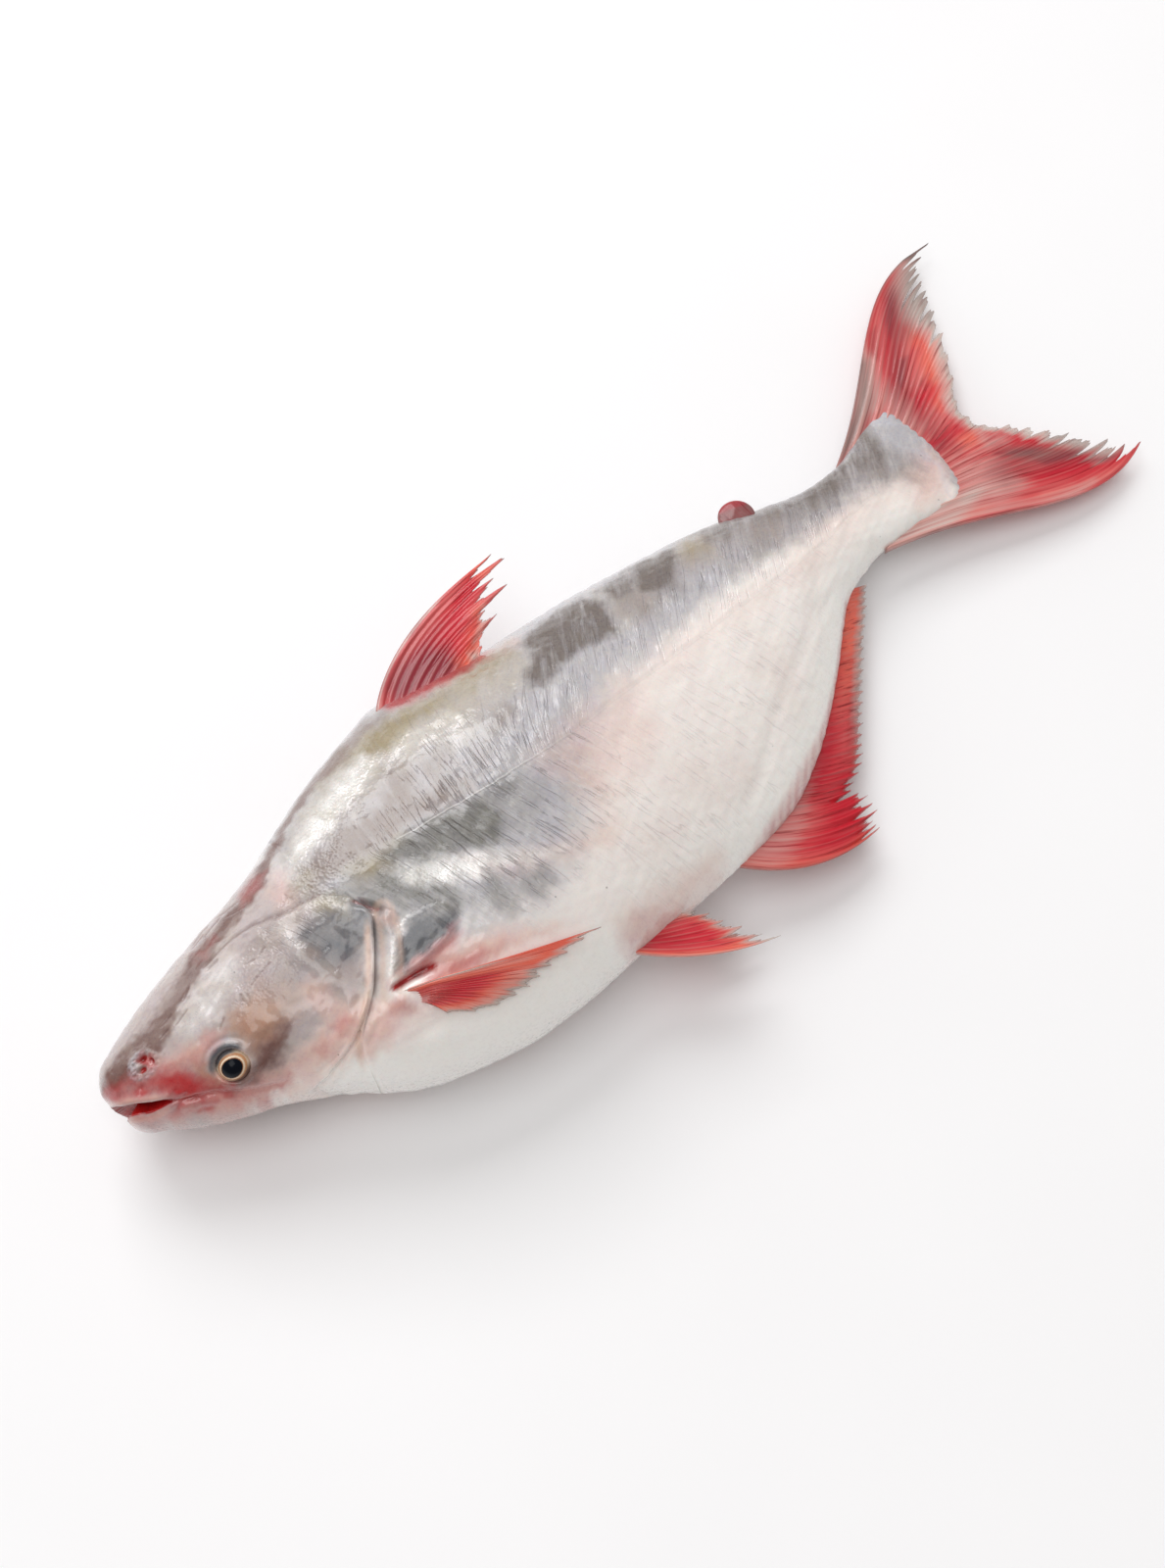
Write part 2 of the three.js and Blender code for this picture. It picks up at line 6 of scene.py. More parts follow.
import bpy
import numpy as np
from mathutils import Color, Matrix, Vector


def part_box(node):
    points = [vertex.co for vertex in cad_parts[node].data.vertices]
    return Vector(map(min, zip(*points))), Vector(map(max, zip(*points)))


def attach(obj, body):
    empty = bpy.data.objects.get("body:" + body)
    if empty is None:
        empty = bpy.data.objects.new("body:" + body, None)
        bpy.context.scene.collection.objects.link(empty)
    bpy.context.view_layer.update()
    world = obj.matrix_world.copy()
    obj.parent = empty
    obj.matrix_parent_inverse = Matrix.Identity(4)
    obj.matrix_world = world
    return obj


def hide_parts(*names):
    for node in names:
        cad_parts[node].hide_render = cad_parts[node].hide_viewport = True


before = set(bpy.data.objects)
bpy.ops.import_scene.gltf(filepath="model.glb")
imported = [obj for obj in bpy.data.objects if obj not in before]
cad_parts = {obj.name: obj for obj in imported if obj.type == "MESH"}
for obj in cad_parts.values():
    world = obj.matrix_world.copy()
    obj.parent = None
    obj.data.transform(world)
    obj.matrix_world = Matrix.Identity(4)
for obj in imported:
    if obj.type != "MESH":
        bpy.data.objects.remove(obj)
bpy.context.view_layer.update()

bl_info = {
    "name": "Whole Raw Catfish",
    "version": (1, 0, 0),
    "blender": (4, 5, 0),
    "location": "View3D > Sidebar > Fish",
    "description": "Skin, fins, eyes and studio of a whole raw catfish",
    "category": "Object",
}

# ---- sizes, in millimetres
MM = 0.001
LEFT, RIGHT = 1, -1
SIDES = {"left": LEFT, "right": RIGHT}

# The fish lies along x from its snout, and y is a level, up to the back and down to the belly.
FLESH_LENGTH = 463.5  # snout to the end of the fleshy tail base
SNOUT_TIP, SNOUT_Y, SNOUT_ROUND = -1.6, -6, 8
TAIL_BASE_Y, TAIL_ROUND = 8, 8
PRESSED = 2  # height over which the flank rounds into the flat that it rests on

# The body's mesh: rings over each rounded end, rings set close behind the gill edge, and how
# many times as far apart the trunk's rings stand as the head's.
END_RINGS = 14
NEAR_RINGS, NEAR_START, NEAR_STEP = 8, 1.4, 0.8
TRUNK_STEP = 2.0

# The gill cover's hind edge: the ring that is drawn onto it, and the rings between which the
# mesh gives way. It is free between its top and its lower end, and fades out beyond them.
GILL_RING = 123
GILL_REACH = (25, 195)
GILL_TOP, GILL_FADE = -9, 8
GILL_END = (-53, -60)
GILL_LIP, GILL_LIP_FADE = 2.2, 14  # how proud it stands, and over what distance that fades
GILL_GROOVE, GILL_GROOVE_FADE = 1.6, 9  # the same for the depth of the groove behind it
GILL_ROLL = 1.2  # depth below which the rolled edge carries no relief
RING_PASSES = 24  # rounds in which the rings settle
# Section through the free edge of the cover: [distance behind the edge, depth below its
# outer face]. It rolls over, runs back under the cover and turns onto the shoulder.
GILL_FOLD = [
    (0.25, 0.15), (0.55, 0.5), (0.6, 0.95), (0.35, 1.4), (-0.8, 1.75), (-2.6, 2.0),
    (-4.6, 2.3), (-5.2, 2.9), (-4.4, 3.5), (-2.4, 3.7), (-0.6, 3.8), (0.9, 3.8),
]

EYE_X, EYE_Y = 45.4, -35.2
NOSTRIL_X, NOSTRIL_Y = 19.3, -10.7
EYE_RINGS, EYE_SPOKES = 72, 96
EYE_OVAL = (1.04, 1.14)  # the iris is a little longer than it is high

# How the fins stand off the fish's middle plane, and the gap that they keep over the table.
DORSAL_LIFT = 17  # the back is rolled a little upwards, and carries its fins with it
DORSAL_CURL = 1.5
TAIL_CURL = 2
ANAL_SAG = (13, 7)  # at its front and at its hind ray
PELVIC_SPREAD = 5
PELVIC_SAG = {LEFT: 2, RIGHT: 14}
PELVIC_TUCK = {LEFT: 0, RIGHT: 9}
PELVIC_FAN = 3
PECTORAL_ROOT = -3
PECTORAL_LIFT = 1.9
PECTORAL_FAN = 1.5
TABLE_GAP = 0.3
ADIPOSE = {
    "x": 364, "length": 17, "height": 8.5, "breadth": 3.4, "lean": -12, "sunk": 3.5, "lift": 7,
    "rings": 28, "spokes": 48,
}

# Camera, in millimetres of the fish: it looks down at the left flank from the belly side.
CAMERA_AT = (31.5, -264.9, 896.0)
CAMERA_LOOKS_AT = (239.3, -13.5, 0.0)
CAMERA_LENS = 50
CAMERA_SENSOR = 36

# The stage, in metres. Softboxes: [name, place, side, the setting with its power].
CAMERA_CLIP = 0.01
TABLE_SIDE = 6.0
SOFTBOXES = [
    ("key softbox", (0.68, 2.6, 3.0), 2.3, "key_light"),
    ("overhead softbox", (-0.6, 0.0, 3.0), 2.0, "fill_light"),
    ("rim softbox", (-0.9, 2.6, 1.2), 1.5, "rim_light"),
]


# ---- curves
def curve(points):
    """A smooth curve through points [at, value], with no overshoot between them."""
    at, value = np.array(points, float).T
    gap = np.diff(at)
    secant = np.diff(value) / gap
    before, after = secant[:-1], secant[1:]
    total = np.where(before * after > 0, before + after, 1)
    slope = np.empty_like(at)
    slope[0], slope[-1] = secant[0], secant[-1]
    slope[1:-1] = np.where(before * after > 0, 2 * before * after / total, 0)

    def value_at(x):
        held = np.clip(x, at[0], at[-1])
        i = np.clip(np.searchsorted(at, held, side="right") - 1, 0, len(gap) - 1)
        u = (held - at[i]) / gap[i]
        rise = value[i + 1] - value[i]
        bend = slope[i] * (1 - u) - slope[i + 1] * u
        return value[i] + rise * u * u * (3 - 2 * u) + gap[i] * u * (1 - u) * bend

    return value_at


def path(points):
    """A curve in the plane through points [share, x, y]."""
    x = curve([(s, a) for s, a, _ in points])
    y = curve([(s, b) for s, _, b in points])
    return lambda share: (x(share), y(share))


def ease(value, low, high):
    """0 below low, 1 above high and a smooth rise between them."""
    t = np.clip((value - low) / (high - low), 0, 1)
    return t * t * (3 - 2 * t)


def fade(value, low, high):
    """1 below low, 0 above high and a smooth fall between them."""
    return 1 - ease(value, low, high)


def bump(distance, width):
    """1 at no distance, falling off smoothly over width on either side."""
    return np.exp(-((distance / width) ** 2))


def line_distance(x, y, points):
    """Distance from a broken line, and how far along it the nearest point is, 0 to 1."""
    best = np.full(np.broadcast(x, y).shape, np.inf)
    share = np.zeros_like(best)
    count = len(points) - 1
    for i in range(count):
        (ax, ay), (bx, by) = points[i], points[i + 1]
        dx, dy = bx - ax, by - ay
        t = np.clip(((x - ax) * dx + (y - ay) * dy) / (dx * dx + dy * dy), 0, 1)
        away = np.hypot(x - ax - t * dx, y - ay - t * dy)
        nearer = away < best
        best = np.where(nearer, away, best)
        share = np.where(nearer, (i + t) / count, share)
    return best, share


def depth_inside(x, y, outline):
    """How far inside a closed outline each point lies, below 0 outside it."""
    closed = outline + outline[:1]
    away = line_distance(x, y, closed)[0]
    odd = np.zeros(np.broadcast(x, y).shape, bool)
    for (ax, ay), (bx, by) in zip(closed, closed[1:]):
        if ay != by:
            crossing = ax + (y - ay) * (bx - ax) / (by - ay)
            odd ^= ((ay > y) != (by > y)) & (x < crossing)
    return np.where(odd, away, -away)


def zones(x, y, outlines):
    """How much pigment each point has, from soft-edged areas [strength, softness, outline]."""
    bare = 1
    for strength, soft, outline in outlines:
        bare = bare * (1 - strength * ease(depth_inside(x, y, outline), -2 * soft, 2 * soft))
    return 1 - bare


def areas_of(x, y, tables):
    """How much of each pigment every point has, from the tables of their areas."""
    return {name: zones(x, y, areas) for name, areas in tables.items()}


def ripple(x, y, size, seed):
    """Smooth uneven waves between about -1 and 1, with crests about size apart."""
    total = 0
    for k in range(5):
        angle = seed + 2.4 * k
        pitch = 2 * math.pi / (size * (0.7 + 0.19 * k))
        turned = x * math.cos(angle) + y * math.sin(angle)
        total = total + np.sin(turned * pitch + 1.7 * k * seed + 0.8 * np.sin(y * pitch / 2 + k))
    return total / 3


def stroke(x, y, line, width):
    """1 on a broken line, falling off smoothly over width on either side."""
    return bump(line_distance(x, y, line)[0], width)


def oval(x, y, centre_x, centre_y, half_length, half_height):
    """1 in the middle of an oval, falling off smoothly over its half length and height."""
    return bump(np.hypot((x - centre_x) / half_length, (y - centre_y) / half_height), 1)


def strongest(*amounts):
    """The strongest of several amounts at each point."""
    return functools.reduce(np.maximum, amounts)


# Outline seen from the side, half the breadth, the level at which the fish is broadest,
# the height of its middle plane, and how its sections fill out.
BACK_LINE = curve([
    (0, 2.5), (10, 6.4), (30, 13.2), (60, 20.2), (90, 26.8), (105, 32.5), (133, 44), (160, 52.2),
    (182, 57), (210, 53.2), (240, 49), (270, 47.9), (310, 43.8), (351, 37.6), (380, 28.6),
    (400, 24), (415, 24.2), (432, 28.5), (448, 34), (456, 36),
])
BELLY_LINE = curve([
    (0, -26), (8, -29.2), (20, -37.7), (34, -45), (49, -51.2), (63, -57.4), (82, -70.4),
    (95, -80.2), (110, -87.2), (126, -92), (150, -96.8), (175, -97.6), (200, -96.3), (235, -94.6),
    (262, -92.6), (290, -88.5), (317, -76.5), (348, -54.5), (363, -41.5), (379, -28.5), (393, -23),
    (410, -20), (432, -20.6), (450, -21.5),
])
HALF_BREADTH = curve([
    (0, 16), (8, 18.5), (20, 23), (45, 30), (70, 36), (95, 40), (125, 42.5), (160, 43.5),
    (200, 42.5), (240, 38), (280, 31.5), (320, 25), (360, 18.5), (400, 13), (430, 9), (450, 5),
    (461, 3),
])
BROADEST = curve([
    (0, -8), (40, -14), (100, -20), (160, -20), (240, -15), (320, -8), (400, 0), (450, 4),
])
MID_HEIGHT = curve([
    (0, 37), (60, 39.8), (120, 39.5), (180, 39), (240, 35.4), (280, 31.6), (320, 28.6), (360, 25.8),
    (400, 22.6), (430, 19.8), (460, 17), (500, 12), (560, 5),
])
BACK_FULLNESS = curve([(0, 0.8), (40, 0.72), (110, 0.8), (180, 1), (300, 1.1), (430, 0.95)])
BELLY_FULLNESS = curve([
    (0, 0.8), (60, 0.8), (160, 0.85), (220, 1), (290, 1.4), (360, 1.45), (410, 1),
])
# The gill cover's hind edge, as [level, distance behind the snout], and the lateral line.
GILL_EDGE = curve([
    (-80, 84), (-66, 87), (-60, 90.5), (-55, 96.5), (-49, 104.5), (-41, 111.5), (-33, 117.5),
    (-25, 122), (-15, 120), (-6, 112),
])
LATERAL_LINE = curve([
    (112, 2), (129, -3), (150, -8), (176, -11), (200, -13.5), (232, -14.5), (268, -12), (320, -9),
    (375, -6), (413, 0), (450, 3),
])

TAIL_TOP = (540, 91)  # tip of the upper tail lobe, the highest level of the fish

# Fins. Shares run from the first ray to the last, and from the root to the tip: rays, mesh
# steps across each and along it, how an arched ray rises and falls, how deep the edge is cut
# between rays and how ragged it is, thickness at root and edge, heights of the rays and of the
# stout first one, its share, waves, root and tip lines, bow, and slits [share, depth, width].
DORSAL_FIN = {
    "rays": 8, "across": 15, "along": 44, "arch": (0.84, 1.16), "notch": 0.12,
    "ragged": 0.05, "thick": (2.2, 0.5), "ridge": 0.42, "spine": 1.2, "rod": 0.04, "wave": 0.5,
    "root": path([(0, 179, 48), (1, 226, 40)]),
    "tip": path([
        (0, 264, 78), (0.125, 270.5, 73.8), (0.25, 258.2, 68.6), (0.375, 261.2, 63),
        (0.5, 246.5, 59.2), (0.625, 248.5, 54.8), (0.75, 239, 51.5), (0.875, 234.5, 46.8),
        (1, 229, 42.5),
    ]),
    "bow": curve([(0, 0.096), (0.5, 0.056), (1, 0.02)]),
    "slits": [
        (0.06, 0.05, 0.02), (0.19, 0.05, 0.03), (0.31, 0.06, 0.02), (0.44, 0.05, 0.02),
        (0.69, 0.05, 0.02),
    ],
}
TAIL_FIN = {
    "rays": 18, "across": 16, "along": 60, "arch": (2.6, 1), "notch": 0.05,
    "ragged": 0.02, "thick": (4.6, 0.5), "ridge": 0.4, "spine": 0.5, "rod": 0.012, "wave": 0.4,
    "root": path([
        (0, 410, 19.5), (0.08, 436, 27), (0.16, 449, 26), (0.3, 454, 18), (0.5, 455, 3),
        (0.7, 452, -9), (0.84, 446, -17), (0.92, 434, -19), (1, 408, -20.5),
    ]),
    "tip": path([
        (0, *TAIL_TOP), (0.06, 533, 86), (0.16, 522, 71), (0.27, 510, 50), (0.38, 497, 29),
        (0.47, 486, 12), (0.53, 487, 3), (0.62, 500, -8), (0.73, 513, -21), (0.84, 526, -34),
        (0.94, 537, -45), (1, 543, -50),
    ]),
    "bow": curve([
        (0, 0.085), (0.1, 0.06), (0.3, 0.02), (0.5, 0), (0.7, -0.02), (0.9, -0.05), (1, -0.088),
    ]),
    "slits": [
        (0.035, 0.06, 0.006), (0.062, 0.07, 0.006), (0.09, 0.06, 0.005), (0.112, 0.24, 0.006),
        (0.14, 0.1, 0.005), (0.165, 0.08, 0.005), (0.195, 0.13, 0.005), (0.225, 0.07, 0.005),
        (0.26, 0.1, 0.006), (0.6, 0.06, 0.005), (0.655, 0.06, 0.005), (0.7, 0.08, 0.005),
        (0.75, 0.06, 0.005), (0.79, 0.11, 0.006), (0.835, 0.07, 0.005), (0.87, 0.14, 0.006),
        (0.905, 0.08, 0.005), (0.94, 0.09, 0.005), (0.97, 0.05, 0.004),
    ],
}
ANAL_FIN = {
    "rays": 28, "across": 11, "along": 30, "arch": (1, 1), "notch": 0.11,
    "ragged": 0.05, "thick": (2.2, 0.5), "ridge": 0.3, "spine": 0.5, "rod": 0.012, "wave": 0.6,
    "root": path([
        (0, 256, -90), (0.2, 284, -86), (0.4, 310, -76), (0.65, 341, -55), (0.85, 364, -35),
        (1, 380, -24),
    ]),
    "tip": path([
        (0, 321, -114), (0.1, 326, -108), (0.2, 328, -98), (0.25, 324, -94), (0.35, 334, -88),
        (0.55, 352, -69), (0.75, 372, -48), (0.9, 387, -33), (1, 393, -26),
    ]),
    "bow": curve([(0, -0.13), (0.2, -0.06), (1, 0)]),
    "slits": [
        (0.07, 0.06, 0.008), (0.125, 0.07, 0.008), (0.17, 0.08, 0.008), (0.228, 0.2, 0.012),
        (0.3, 0.06, 0.008),
    ],
}
PELVIC_FIN = {
    "rays": 6, "across": 17, "along": 34, "arch": (1, 1), "notch": 0.1,
    "ragged": 0.06, "thick": (2.4, 0.5), "ridge": 0.4, "spine": 0.8, "rod": 0.06, "wave": 0.5,
    "root": path([(0, 196, -92), (1, 203, -86)]),
    "tip": path([
        (0, 251.3, -126.6), (0.2, 244.5, -119.5), (0.4, 240.1, -111), (0.6, 236, -103.5),
        (0.8, 231.5, -98), (1, 223, -92.5),
    ]),
    "bow": curve([(0, -0.08), (1, 0.04)]),
    "slits": [(0.25, 0.12, 0.012), (0.5, 0.1, 0.012), (0.72, 0.1, 0.014)],
}
PECTORAL_FIN = {
    "rays": 9, "across": 15, "along": 44, "arch": (1, 1), "notch": 0.06,
    "ragged": 0.025, "thick": (3, 0.6), "ridge": 0.5, "spine": 1.8, "rod": 0.15, "wave": 0.2,
    "root": path([(0, 111, -54.5), (1, 116, -63)]),
    "tip": path([
        (0, 191, -83.5), (0.12, 183, -83.5), (0.3, 168, -83.5), (0.5, 157, -84.5),
        (0.7, 146, -84), (0.85, 134, -80.5), (1, 122, -73),
    ]),
    "bow": curve([(0, -0.02), (1, 0.05)]),
    "slits": [(0.36, 0.06, 0.012), (0.61, 0.06, 0.012)],
}

# Where the fish's own millimetres lie in the frame: its snout is the frame's lowest x, and
# the tip of its tail the highest y.
LOWEST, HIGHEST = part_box("fish")
FISH_ORIGIN = np.array([LOWEST.x / MM - SNOUT_TIP, HIGHEST.y / MM - TAIL_TOP[1], 0.0])


def to_frame(points):
    """Fish millimetres to metres in the frame."""
    return (points + FISH_ORIGIN) * MM


# ---- body surface
def rounding(x):
    """How much of the full section is left where the snout and the tail base round off."""
    front = np.clip(1 - (x - SNOUT_TIP) / SNOUT_ROUND, 0, 1)
    hind = np.clip(1 - (FLESH_LENGTH - x) / TAIL_ROUND, 0, 1)
    return np.sqrt((1 - front * front) * (1 - hind * hind))


def section(x):
    """The section at x: broadest level, reach to back and belly, rounding."""
    round_off = rounding(x)
    middle = np.where(x < GILL_RING, SNOUT_Y, TAIL_BASE_Y)
    share = np.minimum(1, 0.3 + 0.7 * round_off) * round_off
    level = middle + (BROADEST(x) - middle) * share
    up = (BACK_LINE(x) - level) * round_off
    down = (level - BELLY_LINE(x)) * round_off
    return level, up, down, round_off


def level_of(x, turn):
    """The level of the skin at a turn of the section at x."""
    level, up, down, _ = section(x)
    cosine = np.cos(turn)
    return level + np.where(cosine > 0, up, down) * cosine


def flesh(x, turn):
    """A point of the body without any relief. Turn 0 is the back, a quarter turn the left."""
    level, up, down, round_off = section(x)
    cosine, sine = np.cos(turn), np.sin(turn)
    y = level + np.where(cosine > 0, up, down) * cosine
    fullness = np.where(cosine > 0, BACK_FULLNESS(x), BELLY_FULLNESS(x))
    reach = HALF_BREADTH(x) * round_off * np.abs(sine) ** fullness
    return np.stack([x + 0 * y, y, MID_HEIGHT(x) + np.sign(sine) * reach], -1)


def flesh_normal(x, turn):
    """Which way the body faces at each point."""
    step_x, step_turn = 0.6, 0.02
    front, hind = np.maximum(x - step_x, SNOUT_TIP), np.minimum(x + step_x, FLESH_LENGTH)
    along = flesh(hind, turn) - flesh(front, turn)
    around = flesh(x, turn + step_turn) - flesh(x, turn - step_turn)
    normal = np.cross(around, along)
    length = np.linalg.norm(normal, axis=-1, keepdims=True)
    return normal / np.maximum(length, 1e-9)


def pressed(z):
    """The flank that the fish lies on is pressed flat against the table."""
    soft = (z + PRESSED) ** 2 / (4 * PRESSED)
    return np.where(z >= PRESSED, z, np.where(z <= -PRESSED, 0, soft))


def gill_fade(y):
    """The cover's edge is free between its two ends, and grows into the skin beyond them."""
    return ease(GILL_TOP - y, 0, GILL_FADE) * ease(y, GILL_END[1], GILL_END[0])


def gill_sides(behind):
    """How proud the gill cover stands up to its edge, and how deep the skin lies behind it."""
    cover = GILL_LIP * np.exp(np.minimum(0, behind) / GILL_LIP_FADE)
    groove = -GILL_GROOVE * np.exp(-np.maximum(0, behind) / GILL_GROOVE_FADE)
    return cover, groove


def gill_step(behind, y):
    """Relief of the gill cover: its edge stands proud, and the skin drops behind it."""
    cover, groove = gill_sides(behind)
    return gill_fade(y) * (cover + (groove - cover) * ease(behind, -1.5, 2))


def turn_at(x, y, side):
    """The turn at which the skin on one side of the fish passes through x, y."""
    level, up, down, _ = section(x)
    share = np.clip((y - level) / np.where(y > level, up, down), -0.995, 0.995)
    return side * np.arccos(share)


def flank(x, y, side):
    """Height of the skin over the table at x, y on one side of the fish."""
    turn = turn_at(x, y, side)
    step = gill_step(x - GILL_EDGE(y), y) * np.abs(np.sin(turn)) * rounding(x)
    return pressed(flesh(x, turn)[..., 2] + side * step)


def head_spot(x, y, side):
    """Where a spot on the side of the head is, and which way it faces."""
    def at(dx, dy):
        return np.array([x + dx, y + dy, float(flank(x + dx, y + dy, side))])

    normal = np.cross(at(3, 0) - at(-3, 0), at(0, 3) - at(0, -3)) * side
    return at(0, 0), normal / np.linalg.norm(normal)


def settle_rings(ring, turn):
    """x of each mesh point: rings on both sides of the gill edge are drawn along with it."""
    front, hind = GILL_REACH
    before, behind = (ring - front) / (GILL_RING - front), (hind - ring) / (hind - GILL_RING)
    share = np.clip(np.where(ring < GILL_RING, before, behind), 0, 1)
    x = ring + 0 * turn
    for _ in range(RING_PASSES):
        shift = (GILL_EDGE(level_of(x, turn)) - GILL_RING) * share
        x = (x + ring + shift) / 2
    return x


# ---- head and skin relief
# The edges of the mouth's opening, how far back it is open, and where its crease ends.
MOUTH_UPPER = curve([
    (-6, -7), (0, -13), (3, -16.4), (9, -20.6), (14, -24.2), (18, -27.2), (24, -31.8), (31, -36.8),
])
MOUTH_LOWER = curve([
    (-6, -17.5), (3, -21), (9, -25), (14, -27.2), (18, -28.6), (24, -32.4), (31, -37.2),
])
MOUTH_END = 19
CREASE_END = 31
CREASE_DROP = 0.4  # how far under the upper lip's line the closed corner of the mouth lies
LIP_OUT = 1.3  # how far outside the opening the lips' ridge runs
# Openings of the nostril, as [x, y, half length, half height], and the frill of skin round it.
NOSTRIL_HOLES = [(19.9, -9.2, 2.3, 1.3), (17.4, -12.6, 1.7, 1.3), (22.4, -12.3, 0.9, 1.9)]
FRILL = [
    (11.5, -12), (13, -8.5), (15.5, -6.2), (19, -5.6), (22, -6.6), (22.5, -8), (18, -7.8),
    (16.6, -10), (15, -12.5), (15.8, -14.6), (19, -14.8), (21, -11), (21.6, -14.2), (23.5, -15.4),
    (18, -17), (13.5, -15.4),
]
# Lines on the head, the shoulder and the tail base.
JAW_FOLD = [(15, -30.4), (22, -31.6), (27, -33.6), (33, -37.4), (40, -42), (51, -48.2), (62, -53)]
CHIN_FOLD = [(22, -36), (27, -38), (32, -41)]
CORNER_FOLD = [(20, -26.5), (22, -29.4), (25.5, -31.2)]
NAPE_CREASE = [(60, 2.5), (68, 4), (76, 4.2), (84, 3), (90, 0.8), (96, -2), (104, -3.5), (112, -6)]
MEMBRANE_EDGE = [
    (103, -50), (99, -53.5), (94, -56.5), (88, -58.8), (80, -60.2), (72, -60.4), (62, -58.2),
    (52, -54.4),
]
MEMBRANE_ROLL = [(x, y + 1.6) for x, y in MEMBRANE_EDGE]
MEMBRANE_FOLD = [(100, -59), (92, -62.5), (82, -64), (72, -63), (62, -60.5)]
THROAT_FOLD = [(46, -48.5), (58, -53.5), (68, -56.6), (78, -57.8), (86, -57)]
PREOPERCLE = [(96, -3), (92, -10), (92, -20), (95, -31), (97, -42), (93, -50), (85, -55)]
CLEITHRUM = [(127, -27), (124, -35), (119, -43), (113, -50), (109, -56)]
HUMERAL_EDGE = [
    (125, -34.5), (133, -34), (142, -35.5), (150, -39), (153, -44), (148, -49), (138, -51.5),
]
AXIL_TOP = [(110.5, -51.4), (118, -51.8), (128, -51.6), (138, -51), (148, -49)]
AXIL = [(112, -53.2), (118, -54), (124, -55), (129, -56.4)]
SLIT = [(120.2, -17.5), (122.8, -20.5), (126, -25.5)]
ANAL_RIDGE = [(268, -80), (290, -70), (312, -54), (335, -41), (357, -29), (376, -23)]
TAIL_FOLD = [(446, -24), (453, -18), (457, -8), (458, 6), (456, 20), (449, 30)]
WRINKLES = [
    ((62, 16), (72, 19)), ((66, 14.5), (78, 17.5)), ((30, -8), (35, -7.4)),
    ((33, -4.5), (39, -3.6)), ((37, -8.4), (45, -6.8)), ((46, -2.6), (51, 0.4)),
    ((50, -21.6), (54, -19.5)), ((60, 0.6), (66, 1.1)), ((103, 0), (101.5, 4)),
    ((62.6, -20), (64.6, -16.6)), ((64.4, -22.4), (64, -18.6)), ((65.6, -21.6), (66.4, -18.4)),
    ((76, 18.8), (81, 17.6), (86.5, 17.3)), ((79, 14.6), (84, 13.2), (88, 12.6)),
    ((92.6, -1.2), (95.4, -2)), ((61, 14.2), (68, 16.2)), ((72, -8), (77, -9.4)),
    ((80, -9), (83, -8)), ((70, -16.6), (75, -15.4), (81, -14.8)),
]
# Folds, and ridges with a depth below 0: [line, width, depth].
FOLDS = [
    (JAW_FOLD, 0.9, 0.9), (CHIN_FOLD, 0.7, 0.5), (CORNER_FOLD, 0.9, 0.9), (NAPE_CREASE, 0.7, 0.8),
    (MEMBRANE_EDGE, 0.8, 1.3), (MEMBRANE_ROLL, 1.3, -0.6), (MEMBRANE_FOLD, 1.2, 0.6),
    (THROAT_FOLD, 0.7, 0.5), (PREOPERCLE, 3.4, -0.9), (CLEITHRUM, 3.2, -1.5),
    (HUMERAL_EDGE, 1.6, 0.5), (SLIT, 1.4, 3.0), (AXIL, 2.0, 3.0), (AXIL_TOP, 1.3, -1.2),
    (ANAL_RIDGE, 3.0, 0.45),
]
FOLDS += [(wrinkle, 0.55, 0.45) for wrinkle in WRINKLES]
# Mounds, and dimples with a height below 0: [x, y, half length, half height, height].
MOUNDS = [
    (36, -33, 7, 7 / 1.2, -1.2), (13, -17.2, 1.1, 1.1, -0.6), (22.6, -27.6, 1.3, 1.3, -0.6),
    (104, -27, 9, 11, -1.0), (134, -43, 15, 7, 0.9), (112.5, -58, 3.9, 4.8, 1.4),
]


def crease(x, y, line, width, depth):
    """A groove along a line, which fades out at both ends."""
    away, share = line_distance(x, y, line)
    ends = ease(share, 0, 0.12) * fade(share, 0.88, 1)
    return -depth * bump(away, width) * (0.25 + 0.75 * ends)


def mouth_gap(x, y):
    """How far inside the open mouth a point lies, below 0 outside it."""
    inside = np.minimum(MOUTH_UPPER(x) - y, y - MOUTH_LOWER(x)) * 0.8
    return np.minimum(inside, (MOUTH_END - x) * 0.5)


def nostril_depth(x, y):
    """1 in the middle of an opening of the nostril, 0 outside it."""
    return strongest(*(oval(x, y, *hole) for hole in NOSTRIL_HOLES))


def crinkle(x, y):
    """The fine crinkles of the nostril's frill."""
    return ripple(x, y, 1.5, 3.1)


def eye_rings(point, side):
    """Distance of each point from the axis of its own eye, and its direction around it."""
    away, angle = np.empty(side.shape), np.empty(side.shape)
    for one in (LEFT, RIGHT):
        centre, normal = head_spot(EYE_X, EYE_Y, one)
        chosen = side == one
        offset = point[chosen] - centre
        flat = offset - (offset @ normal)[:, None] * normal
        away[chosen] = np.linalg.norm(flat, axis=-1)
        angle[chosen] = np.arctan2(flat[:, 1], flat[:, 0])
    return away, angle


